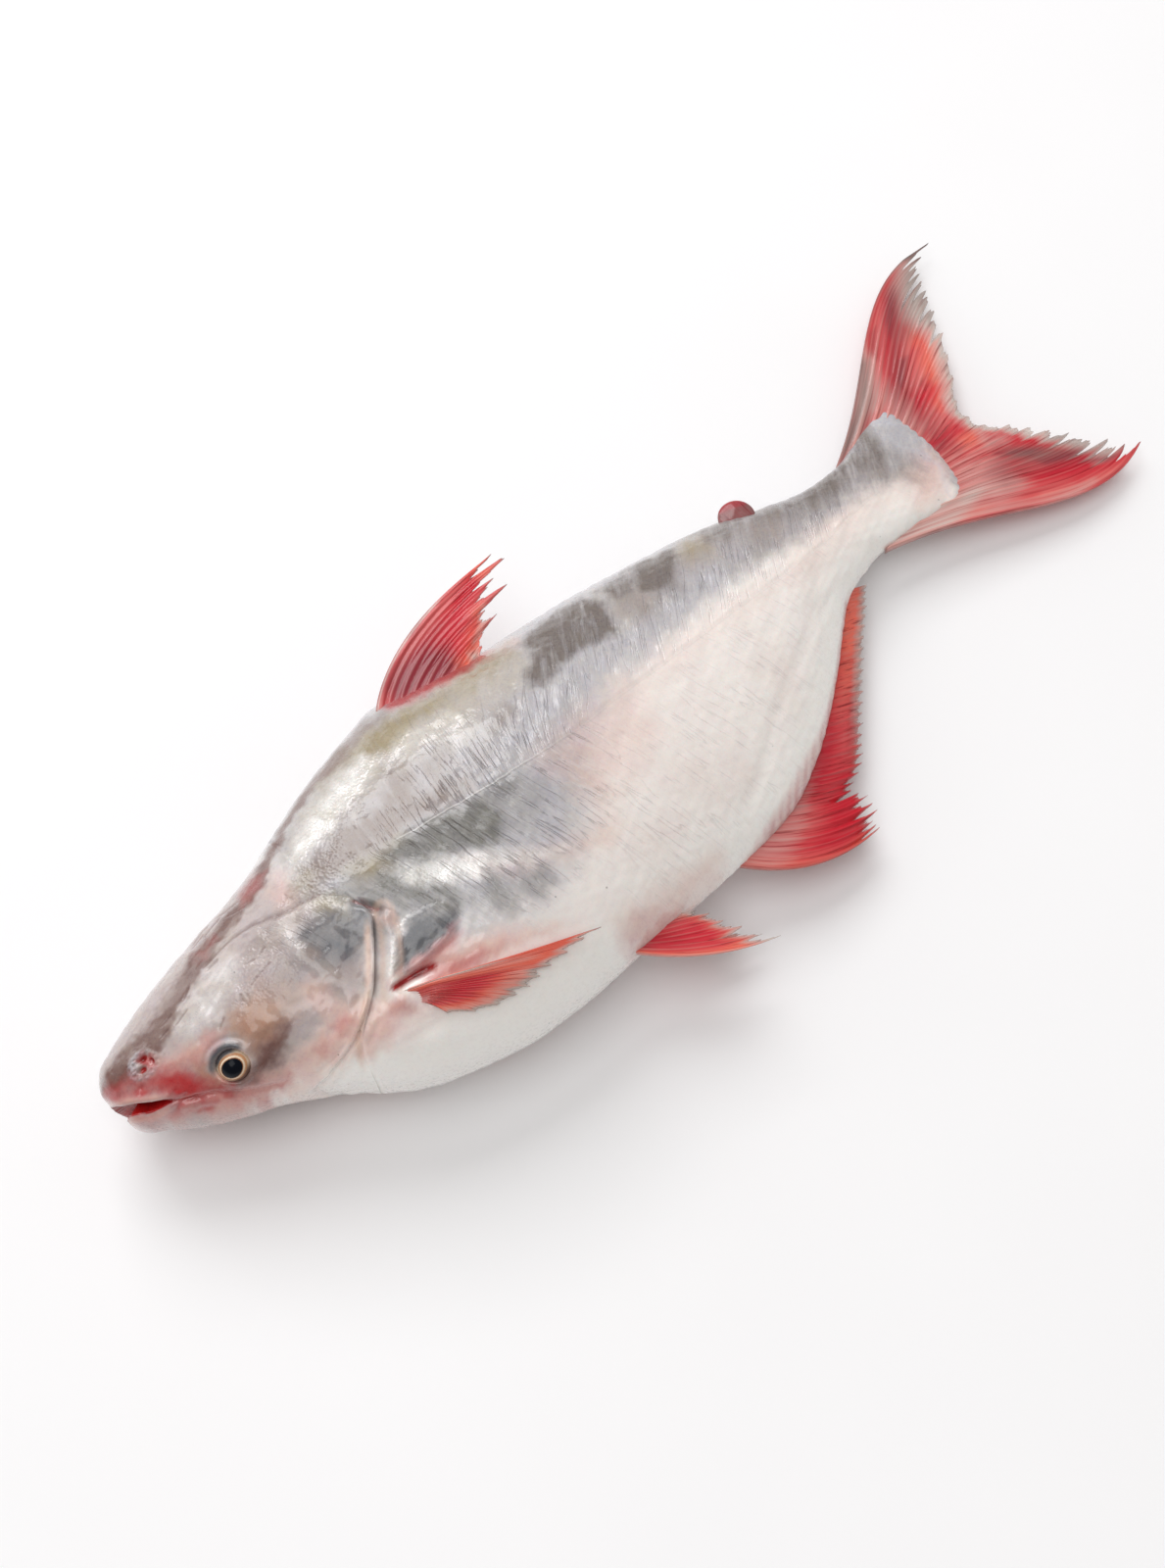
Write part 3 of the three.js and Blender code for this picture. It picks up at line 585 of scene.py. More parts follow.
def skin_relief(point, side):
    """Height of the relief at each point of the skin, along its normal."""
    x, y = point[..., 0], point[..., 1]
    gap = mouth_gap(x, y)
    lips = 0.9 * bump(gap + LIP_OUT, 1.5) * ease(x, SNOUT_TIP, 4)
    lips = lips * fade(x, MOUTH_END, CREASE_END)
    throat = -8.5 * ease(gap, 0, 1.3) * (0.45 + 0.55 * ease(MOUTH_END - x, 0, 9))
    corner = ease(x, 12, 18) * fade(x, CREASE_END - 5, CREASE_END)
    relief = lips + throat - 1.1 * bump(y - MOUTH_UPPER(x) + CREASE_DROP, 0.8) * corner

    # The brow bulges over the eye, a thin lid closes round its lower half.
    away, angle = eye_rings(point, side)
    brow = ease(np.sin(angle), 0.1, 0.7)
    relief += 0.5 * bump(away - 7.8, 1.1) * (1 - brow) + 1.1 * bump(away - 8.6, 1.4) * brow
    relief -= 0.5 * bump(away - 11.2, 1.1) * brow + 7 * fade(away, 5.9, 7.0)

    rim = np.hypot((x - NOSTRIL_X) * 0.9, y - NOSTRIL_Y)
    relief += bump(rim - 4.2, 2.0) * (0.6 + 0.45 * crinkle(x, y)) - 2.2 * nostril_depth(x, y)
    for line, width, depth in FOLDS:
        relief += crease(x, y, line, width, depth)
    for *place, height in MOUNDS:
        relief += height * oval(x, y, *place)
    # The pectoral fin's fleshy root, crinkled.
    relief += 0.9 * oval(x, y, 120, -70, 4.5, 2.2) * (1 + 0.5 * ripple(x, y, 3, 1.3))

    trunk = ease(x, 126, 150) * fade(x, 430, 455)
    over = y - LATERAL_LINE(x)
    threaded = ease(x, 146, 156) * fade(x, 380, 440) * (0.6 + 0.4 * ripple(x, y, 19, 1.6))
    uneven = over - 0.5 * ripple(x, y, 13, 0.9)
    relief += (0.25 * bump(uneven - 1.2, 1.1) - 0.22 * bump(uneven, 0.7)) * threaded
    muscle = 2 * math.pi * (x - 0.45 * np.abs(over)) / 8
    relief += 0.08 * trunk * np.sin(muscle + 2.5 * ripple(x, y, 26, 0.4))
    relief += 0.22 * trunk * ripple(x, y, 17, 2.2) * ease(y, -70, -20)
    relief += 0.10 * ripple(x, y, 5.5, 5.2)
    relief += 0.22 * ripple(x, y, 12, 1.7) * ease(x, 24, 40) * fade(x, 118, 130)

    fold = line_distance(x, y, TAIL_FOLD)[0]
    return relief + 0.3 * bump(fold, 2.2) - 0.25 * bump(fold - 4, 2)


# ---- pigment, painted highlights and painted shade
# Lower edge of the grey of the flank, and both edges of the brown crown of the head.
SIDE_EDGE = curve([
    (95, -8), (118, -40), (150, -58), (180, -62), (198, -56), (214, -46), (228, -33), (244, -19),
    (260, -9), (276, -5), (292, -3), (320, 1), (350, 3), (380, 3), (410, 4), (440, 0), (460, -6),
])
CROWN_EDGE = curve([
    (3, -9), (8, -10.5), (12, -9), (16, -6), (20, -5.5), (24, -8), (26.5, -13), (30, -11.5),
    (34, -10.5), (38, -8.5), (43, -5), (48, -2.5), (54, -0.5), (60, 1.5), (66, 4), (74, 6.5),
    (82, 9), (90, 11), (96, 13), (100, 14.5), (104, 19), (112, 24), (125, 31), (140, 36), (160, 39),
    (182, 48),
])
CROWN_TOP = curve([
    (0, -4), (3, -4.5), (6, -2.5), (12, -1), (20, -0.5), (30, 0.5), (38, 2), (46, 5), (55, 9),
    (65, 12), (75, 14.5), (88, 18.5), (100, 23), (112, 29), (125, 36), (140, 42), (160, 47),
    (182, 56),
])

# Areas of each pigment, and of the painted highlights and shade laid in with them: [strength,
# softness of the border, outline].
WARM = [
    (0.8, 6, [(112, 10), (125, 14), (150, 14), (176, 16), (200, 12), (228, 14), (240, 20),
        (244, 36), (240, 44), (200, 44), (160, 42), (130, 34), (112, 20)]),
    (0.5, 5, [(283, 12), (300, 14), (304, 24), (290, 38), (284, 38)]),
    (0.7, 4, [(328, 20), (340, 19), (345, 24), (346, 33), (336, 36), (328, 34)]),
]
TAUPE = [
    (0.85, 3, [(124, 3), (130, 8), (137, 10), (146, 9), (150, 3), (144, 0), (134, -1), (126, 0)]),
    (0.95, 3, [(148, 4), (154, 9), (158, 15), (164, 19), (171, 18), (173, 10), (168, 4), (158, 1),
        (150, 0)]),
    (0.7, 2.5, [(128, 12), (136, 14), (148, 13), (152, 16), (144, 18), (132, 16)]),
    (0.6, 3, [(112, 3), (118, 8), (124, 6), (120, 0), (112, -2)]),
    (0.75, 3, [(172, 8), (180, 14), (190, 12), (188, 4), (178, 2)]),
    (0.8, 3, [(208, 4), (212, 11), (219, 13), (222, 8), (217, 3)]),
    (0.5, 3, [(192, 0), (200, 8), (204, 3), (200, -6), (194, -6)]),
    (0.45, 4, [(284, 16), (290, 24), (300, 26), (306, 14), (296, 8)]),
    (0.5, 4, [(356, 14), (362, 26), (378, 24), (380, 16), (368, 12)]),
    (0.5, 5, [(425, 8), (448, 14), (452, 4), (446, -8), (436, -4)]),
    (0.6, 4, [(430, 10), (444, 20), (454, 30), (448, 34), (436, 30), (424, 22)]),
    (0.5, 3, [(94, -34), (106, -35), (106, -44), (97, -48)]),
    (0.9, 2.5, [(112, 26), (120, 31), (130, 35), (142, 37.5), (154, 39), (166, 41), (178, 42),
        (184, 45), (172, 50), (158, 46), (144, 43), (130, 40), (116, 33)]),
    (0.5, 5, [(285, 22), (300, 34), (330, 36), (360, 31), (374, 25), (360, 16), (320, 15),
        (296, 14)]),
    (0.5, 5, [(340, 6), (360, 20), (400, 20), (432, 20), (434, 4), (404, 3), (370, 2)]),
    (0.5, 4, [(76, -2), (84, 0), (96, -1), (104, 4), (112, 4), (118, -4), (104, -12), (88, -12),
        (80, -9)]),
    (0.9, 3, [(112, 8), (122, 10), (136, 9), (150, 8), (164, 3), (180, 1), (188, -4), (186, -11),
        (170, -9), (150, -7), (136, -5), (120, -4), (112, -2)]),
    (0.15, 5, [(92, -14), (102, -10), (102, -50), (96, -50), (90, -40), (88, -24)]),
    (0.5, 2, [(112, -28), (126, -28), (128, -35), (118, -40), (110, -38)]),
]
OLIVE = [
    (1.0, 3, [(162, 30), (168, 27), (176, 27), (184, 28), (196, 30), (200, 35), (192, 39),
        (180, 40), (168, 42), (162, 37)]),
    (0.75, 4, [(196, 30), (210, 30), (228, 30), (240, 32), (240, 38), (226, 40), (206, 38),
        (196, 36)]),
    (0.7, 3, [(140, 34), (152, 36), (164, 37), (166, 41), (152, 42), (140, 39)]),
    (0.6, 4, [(329, 24), (341, 23), (344, 31), (335, 35), (329, 32)]),
    (0.95, 2.5, [(109, -7), (116, -9), (119, -15), (115, -20), (110, -16), (107, -12)]),
    (0.95, 3, [(127, -6), (138, -6), (150, -8), (154, -12), (144, -15), (134, -17), (126, -13)]),
    (0.5, 3, [(104, 2), (112, 8), (116, 4), (110, -2)]),
]
SHADE = [
    (1.0, 2.2, [(140, -9), (158, -10.5), (172, -12), (182, -13), (187, -16), (188, -26), (184, -33),
        (178, -33), (171, -31), (163, -26), (154, -22), (144, -18)]),
    (0.35, 5, [(118, -8), (140, -8), (160, -10), (160, -30), (146, -34), (130, -28), (120, -18)]),
    (0.4, 4, [(186, -14), (204, -16), (210, -24), (206, -32), (196, -36), (186, -34)]),
    (0.9, 2.5, [(150, -10), (157, -11), (163, -13), (166, -21), (160, -24), (154, -18)]),
    (0.55, 2, [(188, -13), (199, -14), (203, -17), (198, -20), (190, -19)]),
    (0.85, 3, [(128, -16), (138, -17), (146, -22), (152, -30), (156, -38), (153, -46), (144, -47),
        (138, -38), (131, -32), (127, -24)]),
    (0.5, 2, [(163, -41), (169, -40), (172, -44), (172, -53), (169, -60), (165, -61), (162, -55),
        (161, -48)]),
    (0.5, 2, [(175, -48), (182, -50), (188, -52), (187, -60), (178, -62), (174, -56)]),
    (0.3, 2, [(174, -38), (182, -42), (190, -46), (196, -52), (190, -50), (180, -45)]),
    (0.45, 3, [(112, -8), (122, -8), (130, -12), (128, -26), (122, -18), (114, -14)]),
]
MOTTLE = [
    (1.0, 1.8, [(233, 13), (236, 19), (242, 23), (246, 28), (247, 36), (256, 39), (268, 40),
        (283, 40), (286, 33), (285, 25), (282, 19), (280, 12), (268, 14), (256, 15), (246, 12),
        (238, 10)]),
    (0.8, 2, [(289, 39), (300, 40), (306, 38), (305, 31), (299, 26), (292, 25), (289, 31)]),
    (1.0, 1.8, [(307, 39), (318, 39), (328, 36), (328, 29), (322, 25), (318, 19), (309, 19),
        (303, 23), (306, 31)]),
    (0.7, 3, [(343, 36), (356, 33), (361, 29), (358, 25), (350, 23), (344, 27)]),
    (0.55, 3, [(309, 18), (318, 19), (317, 12), (311, 10)]),
    (0.85, 4, [(362, 30), (378, 27), (388, 24), (400, 24), (412, 24), (424, 25), (422, 17),
        (410, 11), (396, 10), (384, 14), (372, 20)]),
    (0.6, 3, [(396, 22), (412, 22), (420, 21), (416, 14), (402, 12)]),
    (0.7, 4, [(422, 25), (434, 31), (447, 33), (449, 24), (442, 14), (430, 12), (422, 15)]),
    (0.35, 2, [(262, 40), (262, 33), (257, 28), (254, 34), (256, 40)]),
]
SLATE = [
    (0.95, 1.2, [(118, -46.5), (124, -41), (130, -38.6), (136, -37.5), (141, -39.5), (143, -43),
        (148, -45), (146, -50), (134, -51), (126, -51), (114, -51)]),
    (0.6, 1.0, [(130, -36), (136, -35), (141, -37), (136, -39), (130, -39)]),
    (0.85, 3, [(94, -14), (98, -12), (106, -12), (113, -16), (119, -22), (118, -31), (113, -35),
        (107, -37), (100, -34), (95, -29), (93, -22)]),
    (0.3, 2, [(106, -20), (114, -24), (117, -30), (112, -32), (105, -28), (102, -23)]),
    (0.8, 1.4, [(118, -20), (120.5, -19), (123, -24), (122.5, -29), (119, -32), (118, -27)]),
    (0.4, 4, [(72, -20), (88, -18), (92, -26), (90, -34), (78, -32)]),
]
UMBER_AND_SHADE = [
    (0.8, 1.3, [(32, -31.5), (36, -35.5), (40, -38.8), (46, -40.6), (52, -40), (58, -38.6),
        (66, -37.6), (71, -38.6), (67, -42.5), (60, -44.6), (52, -44), (44, -42.6), (38, -39.8),
        (33, -35.5)]),
    (0.45, 2.6, [(36, -37), (46, -41), (56, -40), (70, -37), (68, -44), (56, -47), (44, -44)]),
    (0.5, 2.5, [(54, -34), (62, -33), (72, -34), (74, -38), (62, -40), (54, -40)]),
    (0.25, 4, [(52, -22), (60, -21), (68, -25), (70, -34), (58, -38), (54, -30)]),
    (0.65, 2.5, [(0, -4), (6, -5), (14, -8), (16, -14), (10, -15), (4, -11), (0, -8)]),
    (0.35, 3, [(95, -32), (104, -32), (108, -37), (103, -42), (95, -41)]),
    (0.4, 2.5, [(3, -5), (10, -3), (20, -3.5), (25, -8), (24, -14), (16, -16), (8, -12), (2, -9)]),
    # Dark at the dorsal fin's foot: partly the fin's painted shadow.
    (0.6, 1.2, [(212, 41), (222, 39.5), (230, 41), (228, 45), (214, 45)]),
    # Dark along the gill slit: painted shade in the opening.
    (0.6, 0.8, [(118.6, -16.6), (121, -16.8), (128, -26), (126.4, -27), (121, -20.4)]),
    (0.35, 2, [(24, -8), (27, -7), (28, -12), (25, -14)]),
    (0.3, 1.5, [(64, 7), (74, 9), (84, 12), (84, 15), (74, 13), (64, 10)]),
]
AMBER = [
    (0.8, 2.6, [(51, -22.5), (58, -21.5), (65, -23.5), (71, -29), (71, -35), (64, -39), (54, -38.5),
        (55, -32), (54, -27)]),
    (0.45, 4, [(60, -20), (72, -18), (84, -24), (88, -34), (78, -37), (68, -36)]),
    (0.4, 1.6, [(93, -21), (98, -21), (99, -26), (94, -26)]),
    (0.8, 2, [(34.5, -24), (38, -27), (38.5, -33), (39, -38), (35, -36), (32, -30)]),
]
# Silvery skin, and painted highlights where the wet skin shines: the shoulder, the streak on the
# flank, the cheek and by the gill cover.
SILVER_AND_HIGHLIGHT = [
    (0.95, 3, [(113, 13), (119, 20), (128, 25), (138, 30), (150, 32), (162, 33), (163, 27),
        (156, 24), (148, 20), (138, 17), (126, 14)]),
    (0.95, 3, [(141, -19), (150, -22.5), (160, -27), (168, -32), (175, -38), (166, -40), (158, -37),
        (150, -31), (143, -26)]),
    (0.6, 2.5, [(172, -35), (182, -40), (192, -47), (202, -53), (192, -52), (180, -46),
        (172, -41)]),
    (0.5, 4, [(168, 22), (186, 20), (188, 28), (176, 31)]),
    (0.7, 1.2, [(198.5, 27), (201, 26), (202.5, 20), (201, 17), (199.5, 21)]),
    (0.4, 1.5, [(90, -5), (94, -5), (94, -13), (93, -22), (90.5, -20), (90, -12)]),
    (0.3, 2, [(96, -3), (104, -3), (110, -6), (112, -10), (108, -10), (100, -7)]),
    (0.5, 1.2, [(111, -12), (114, -10.5), (119, -17), (117, -19.5), (114, -17)]),
    (0.5, 1.2, [(122, -39), (126, -35.5), (131, -33.5), (135, -34.5), (131, -36.8), (126, -40),
        (120, -45), (115, -50), (112.5, -50), (117, -44)]),
    (0.5, 4, [(192, 10), (198, 10), (197, 25), (190, 22)]),
    (0.5, 3, [(42, -6), (52, -3), (62, 0), (70, 0), (72, -6), (64, -13), (52, -17), (44, -17),
        (38, -14), (36, -11)]),
]
ROSE = [
    (0.5, 4, [(165, -31), (176, -40), (192, -47), (206, -52), (222, -56), (214, -60), (196, -54),
        (178, -48), (166, -38)]),
    (0.4, 7, [(212, -14), (240, -8), (262, -10), (264, -34), (244, -44), (222, -48)]),
    (0.25, 6, [(262, -6), (340, -4), (400, -4), (400, -14), (330, -16), (262, -18)]),
    (0.8, 3, [(134, -54), (150, -58), (166, -66), (176, -73), (160, -70), (140, -66), (126, -62)]),
    (0.95, 3, [(30, -42), (44, -46), (60, -50), (74, -54), (90, -56), (98, -52), (98, -47),
        (84, -50), (70, -48.5), (56, -46), (42, -43), (32, -38.5)]),
    (0.7, 3, [(14, -29), (26, -36), (40, -43), (52, -49), (60, -55), (40, -48), (22, -38),
        (10, -30)]),
    (0.7, 3, [(96, -56), (104, -53), (112, -57), (111, -63), (100, -66), (88, -66), (86, -62)]),
    (0.9, 3, [(24, -14), (36, -18), (46, -21), (40, -26), (30, -22), (20, -18)]),
    (0.6, 4, [(98, 8), (106, 14), (106, 2), (102, -2), (98, 0)]),
    (0.7, 6, [(199, -84), (212, -85), (235, -86), (250, -86), (246, -92), (220, -92), (200, -92)]),
    (0.9, 2, [(124.5, -26), (128, -27), (129, -32), (126, -34.5), (124, -32)]),
    (0.6, 3, [(205, 36), (225, 38), (246, 37), (246, 42), (205, 43)]),
    (0.7, 3, [(56, -50), (70, -51), (90, -53), (100, -50), (104, -54), (96, -59), (80, -61.5),
        (64, -58)]),
    (0.5, 2, [(84, -28), (90, -30), (93, -40), (92, -50), (84, -50), (82, -40)]),
    (0.6, 4, [(440, 0), (462, 6), (460, -8), (450, -18), (432, -16)]),
    (0.25, 5, [(380, 2), (410, 4), (450, 2), (448, -14), (410, -12)]),
]
FLUSH_AND_SHADE = [
    (0.95, 2.5, [(15, -18), (22, -18.5), (28, -21), (30, -26), (31, -32), (27, -31.5), (21, -28),
        (16, -23)]),
    (0.6, 1.5, [(19, -22), (25, -23), (29, -29), (31, -34), (26, -31.5), (21, -28)]),
    (0.8, 1.0, [(22, -26), (25, -26.4), (25, -29), (22.6, -28.6)]),
    (0.85, 2.5, [(25, -27), (32, -29), (38, -36), (40, -39), (36, -38), (30, -34), (25, -31)]),
    (0.8, 1.0, [(18, -7.4), (22, -7.2), (23.5, -12), (22, -15.2), (19, -13.8), (18, -10)]),
    (0.45, 3, [(24, -16), (36, -20), (46, -21.5), (50, -23), (40, -26), (36, -29), (30, -23),
        (20, -18)]),
    (1.0, 1.2, [(10.8, -17.6), (12.5, -15.6), (14.6, -17), (14, -19.4), (12, -19.6)]),
    (0.8, 1.8, [(-1, -8), (2, -8), (6, -13), (11, -18), (9, -19.6), (3, -15.6), (-1, -11)]),
    (0.7, 2.5, [(-1, -5), (6, -8), (12, -10.5), (17, -16), (20, -19), (16, -20), (10, -16),
        (4, -12), (-1, -10)]),
    (0.4, 2.5, [(2, -19), (8, -24), (18, -29), (30, -34), (40, -41), (52, -46), (40, -45),
        (22, -35), (10, -29), (3, -24)]),
    (0.2, 4, [(86, -60), (100, -57), (116, -60), (130, -64), (128, -72), (104, -74), (88, -66)]),
    (0.7, 1.6, [(120, -52), (142, -51), (147, -53), (136, -56.5), (122, -55.5)]),
    (0.75, 1.2, [(15, -29.8), (22, -31), (28, -33.2), (34, -37), (40, -41), (33, -38.4),
        (26, -34.4), (17, -31.4)]),
    (0.6, 1.0, [(22, -35.4), (28, -37.6), (33, -40.6), (28, -39.4), (23, -37)]),
    (0.32, 3, [(3, -22), (14, -28), (28, -35), (42, -43), (60, -49), (60, -54), (40, -48),
        (20, -38), (6, -28)]),
    (0.45, 1.2, [(42, -46.5), (50, -48.5), (60, -50.5), (60, -52), (50, -50.5), (42, -48)]),
    (0.5, 1.6, [(110, -51.4), (120, -52), (136, -51.4), (148, -48.8), (140, -49.6), (122, -50),
        (110, -50)]),
    (0.7, 2.0, [(124, -57), (132, -58), (144, -62), (155, -67), (148, -68), (136, -64),
        (124, -60)]),
    (0.45, 4.0, [(196, -91), (204, -88.5), (214, -90), (220, -93), (210, -95), (198, -97)]),
    (0.2, 1.6, [(222, -93), (232, -93.5), (244, -92), (252, -91), (246, -95), (232, -96)]),
    # Dark red at the dorsal fin's foot: blood, and partly the fin's painted shadow.
    (0.8, 2.0, [(184, 44), (192, 41), (210, 39.5), (230, 40), (236, 42), (232, 46), (200, 50),
        (184, 53)]),
    (0.4, 2, [(84, -49), (90, -49), (93, -54), (84, -54)]),
    (0.35, 2, [(73, -50), (80, -51), (80, -54), (74, -54)]),
    (0.5, 2, [(107, -58), (113, -59), (114, -66), (110, -65)]),
    (0.35, 2, [(60, 6), (70, 8.5), (71, 12), (60, 9)]),
    (0.45, 2, [(86, 13), (98, 14), (102, 19), (97, 22.5), (88, 20)]),
    (0.5, 2, [(0, -22), (5, -24), (9, -28), (4, -27)]),
]
PEARL = [
    (0.6, 1.4, [(449, 36), (456, 37), (464, 28), (464, 18), (457, 20), (454, 27)]),
    (0.5, 1.0, [(453, 16), (455, 17), (456.5, 4), (454.5, -10), (450, -18), (448.6, -18),
        (452.4, -9), (454.4, 4)]),
]
# Where the fibres show, and where the skin is goose-fleshed.
FIBRES = [
    (0.9, 8, [(150, -2), (185, 10), (240, 12), (242, -20), (220, -52), (170, -62), (150, -40),
        (138, -18)]),
    (0.8, 8, [(225, 0), (240, 26), (300, 30), (400, 20), (400, 2), (300, -4)]),
    (0.35, 12, [(210, -30), (380, -2), (300, -80), (215, -92)]),
    (0.5, 6, [(170, 12), (205, 12), (206, 40), (180, 40)]),
    (0.5, 5, [(84, -10), (96, -2), (106, -12), (96, -24)]),
]
GOOSE = [
    (1.0, 4, [(60, -12), (84, -4), (92, -8), (92, -22), (78, -27), (62, -22)]),
    (1.0, 4, [(98, 2), (110, 12), (128, 10), (132, -6), (118, -10), (104, -8)]),
    (0.9, 4, [(112, 12), (130, 30), (168, 40), (176, 26), (150, 14), (124, 6)]),
    (1.0, 3, [(108, -6), (116, -8), (120, -18), (114, -20)]),
    (0.8, 4, [(130, -16), (150, -22), (168, -32), (156, -38), (136, -30)]),
    (0.9, 2, [(112, -48), (120, -40), (128, -34), (136, -36), (126, -42), (118, -51)]),
    (0.5, 4, [(100, -72), (112, -70), (112, -80), (102, -80)]),
    (0.4, 10, [(176, 10), (200, 36), (232, 34), (226, 10)]),
]
AREAS = {
    "rose": ROSE, "warm": WARM, "taupe": TAUPE, "olive": OLIVE, "shade": SHADE, "mottle": MOTTLE,
    "amber": AMBER, "silver": SILVER_AND_HIGHLIGHT, "slate": SLATE, "umber": UMBER_AND_SHADE, "pearl": PEARL,
    "flush": FLUSH_AND_SHADE, "fibres": FIBRES, "goose": GOOSE,
}


def head_edge(y):
    """Where the pinkish grey skin of the head ends."""
    return 108 - 0.15 * y


def skin_masks(point, side):
    """The pigments of the skin at each point, by name, with painted highlights and painted shade
    among them.
    """
    px, py = point[..., 0], point[..., 1]
    # Borders of the painted areas are ragged: x and y stray from the point a little.
    x = px + 1.3 * ripple(px, py, 11, 0.7) + 0.5 * ripple(px, py, 3.5, 2.9)
    y = py + 1.1 * ripple(px, py, 10, 4.1) + 0.5 * ripple(px, py, 3, 1.9)
    # On the steep back and under the belly the patterns wander, or they would hang as stripes.
    rise = point[..., 2] - MID_HEIGHT(px)
    back = ease(py - LATERAL_LINE(px), 0, 12)
    under = back * fade(rise, 2, 14) + (1 - back) * fade(rise, -26, -8)
    x = x + 8 * under * ripple(px, rise, 36, 5.2)
    y = y + 6 * under * ripple(px, rise, 30, 2.2)
    belly_wall = (1 - back) * fade(rise, -14, 4) * ease(px, 110, 130)
    bloodless = 1 - 0.8 * np.maximum(back * under, belly_wall)

    crown = ease(y - CROWN_EDGE(x), -1.6, 2.0) * fade(x, 145, 185)
    crown = crown * fade(y - CROWN_TOP(x), -2.2, 3.2)
    ridge = ease(py - BACK_LINE(px), -2.4, -0.2) * ease(x, 78, 92) * fade(x, 150, 172)
    gap = mouth_gap(px, py)
    lip = bump(gap + LIP_OUT, 1.1) * fade(x, 14, 22)
    corner = bump(py - MOUTH_UPPER(px) + CREASE_DROP, 0.7) * ease(px, 12, 17)
    # Dark along the head's wrinkles and along the nape crease: painted shade in the creases.
    wrinkle_shade = (stroke(px, py, wrinkle, 0.5) for wrinkle in WRINKLES)
    nape_shade = stroke(px, py, NAPE_CREASE, 0.6)
    cover_edge = bump(px - GILL_EDGE(py) + 2.3, 1.8) * ease(-py, 24, 32)
    cover_edge = cover_edge * fade(-py, 62, 70)
    shoulder = bump(line_distance(px, py, CLEITHRUM)[0] - 3.4, 1.4)
    frill = zones(px, py, [(0.6, 0.7, FRILL)]) * (0.75 + 0.5 * crinkle(px, py))

    away, angle = eye_rings(point, side)
    brow = ease(np.sin(angle), 0.1, 0.6)
    socket = fade(away, 6.4, 6.9)
    below = ease(-np.sin(angle), 0.15, 0.75)
    eyelid = bump(away - 7.1, 0.6) * (1 - brow) * (1 - below)
    crescent = 0.75 * ease(away, 6.2, 6.8) * fade(away, 8.2, 11) * below
    pale_rim = bump(away - 10.9, 0.8) * ease(np.sin(angle), 0.6, 0.95)

    slant = 2 * math.pi * (px - 0.9 * py) / 4.6
    stripes = 0.85 + 0.15 * np.sin(slant + 0.6 * ripple(px, py, 9, 2.4))
    fin_reach = 3 + 6 * bump(px - 300, 26)
    over_belly = py - BELLY_LINE(px)
    anal_root = ease(x, 262, 282) * fade(x, 372, 385) * stripes
    anal_root = anal_root * fade(over_belly, 0.2 * fin_reach, fin_reach)
    width = 7 + 12 * fade(x, 250, 310)
    flank_grey = ease(y - SIDE_EDGE(x), -width, width) * ease(x, 90, 118)

    masks = areas_of(x, y, AREAS)
    masks["cream"] = fade(over_belly, 6, 26)
    masks["side"] = strongest(flank_grey, 0.9 * ease(x, 450, 457))
    masks["head"] = fade(x - head_edge(y), -9, 5) * ease(y, -56, -44)
    masks["crown"] = strongest(0.9 * crown, 0.7 * ridge)
    masks["rose"] = strongest(bloodless * masks["rose"], 0.8 * lip)
    masks["slate"] = strongest(masks["slate"], 0.95 * bump(away - 8.4, 1.7) * brow)
    # Umber, with the painted shade of the creases laid in.
    masks["umber"] = strongest(
        masks["umber"], crescent, 0.8 * socket, 0.5 * nape_shade, 0.45 * strongest(*wrinkle_shade),
    )
    masks["peach"] = strongest(0.75 * cover_edge, 0.9 * eyelid, 0.5 * shoulder)
    masks["pearl"] = strongest(masks["pearl"], 0.375 * pale_rim, frill)
    masks["flush"] = strongest(
        bloodless * masks["flush"] * (1 - lip * 0.45), 0.6 * anal_root, 0.3 * lip,
    )
    masks["line"] = (1 - 0.85 * ease(px, 190, 240)) * ease(px, 146, 153)
    masks["line"] = masks["line"] * fade(px, 400, 440)
    masks["raw"] = strongest(
        ease(gap, -0.3, 0.15),
        0.6 * corner * fade(px, 24, 31),
        0.85 * ease(nostril_depth(px, py), 0.25, 0.75),
        0.4 * stroke(px, py, SLIT, 1.0),
        0.9 * stroke(px, py, AXIL, 1.7),
    )
    return masks


def streak_lean(x, y):
    """Where the fibre under each point meets the lateral line: fibres lean either way."""
    over = y - LATERAL_LINE(x)
    return x - np.where(over > 0, 0.1 + 0.55 * ease(x, 190, 250), -0.35) * over


# ---- meshes
def grid_faces(rows, columns, closed):
    """Quads between the points of a grid, row by row."""
    across = np.arange(columns if closed else columns - 1)
    i, j = np.meshgrid(np.arange(rows - 1), across, indexing="ij")
    right = (j + 1) % columns
    here, below = i * columns, (i + 1) * columns
    return np.stack([here + j, below + j, below + right, here + right], -1).reshape(-1, 4)


def capped_faces(rows, columns):
    """Faces of a closed grid, with fans from its first and last row to two further points."""
    faces = grid_faces(rows, columns, True).tolist()
    last, cap = (rows - 1) * columns, rows * columns
    for k in range(columns):
        beside = (k + 1) % columns
        faces += [(k, beside, cap), (last + beside, last + k, cap + 1)]
    return faces


def outward(points, faces):
    """The faces of a closed mesh, turned over if they face inward."""
    volume = 0.0
    for k in (1, 2):
        chosen = [face for face in faces if len(face) > k + 1]
        a, b, c = (points[[face[i] for face in chosen]] for i in (0, k, k + 1))
        volume += np.sum(a * np.cross(b, c))
    return faces if volume > 0 else [face[::-1] for face in faces]


def placed(name, data):
    """A new object in the scene."""
    made = bpy.data.objects.new(name, data)
    bpy.context.scene.collection.objects.link(made)
    return made


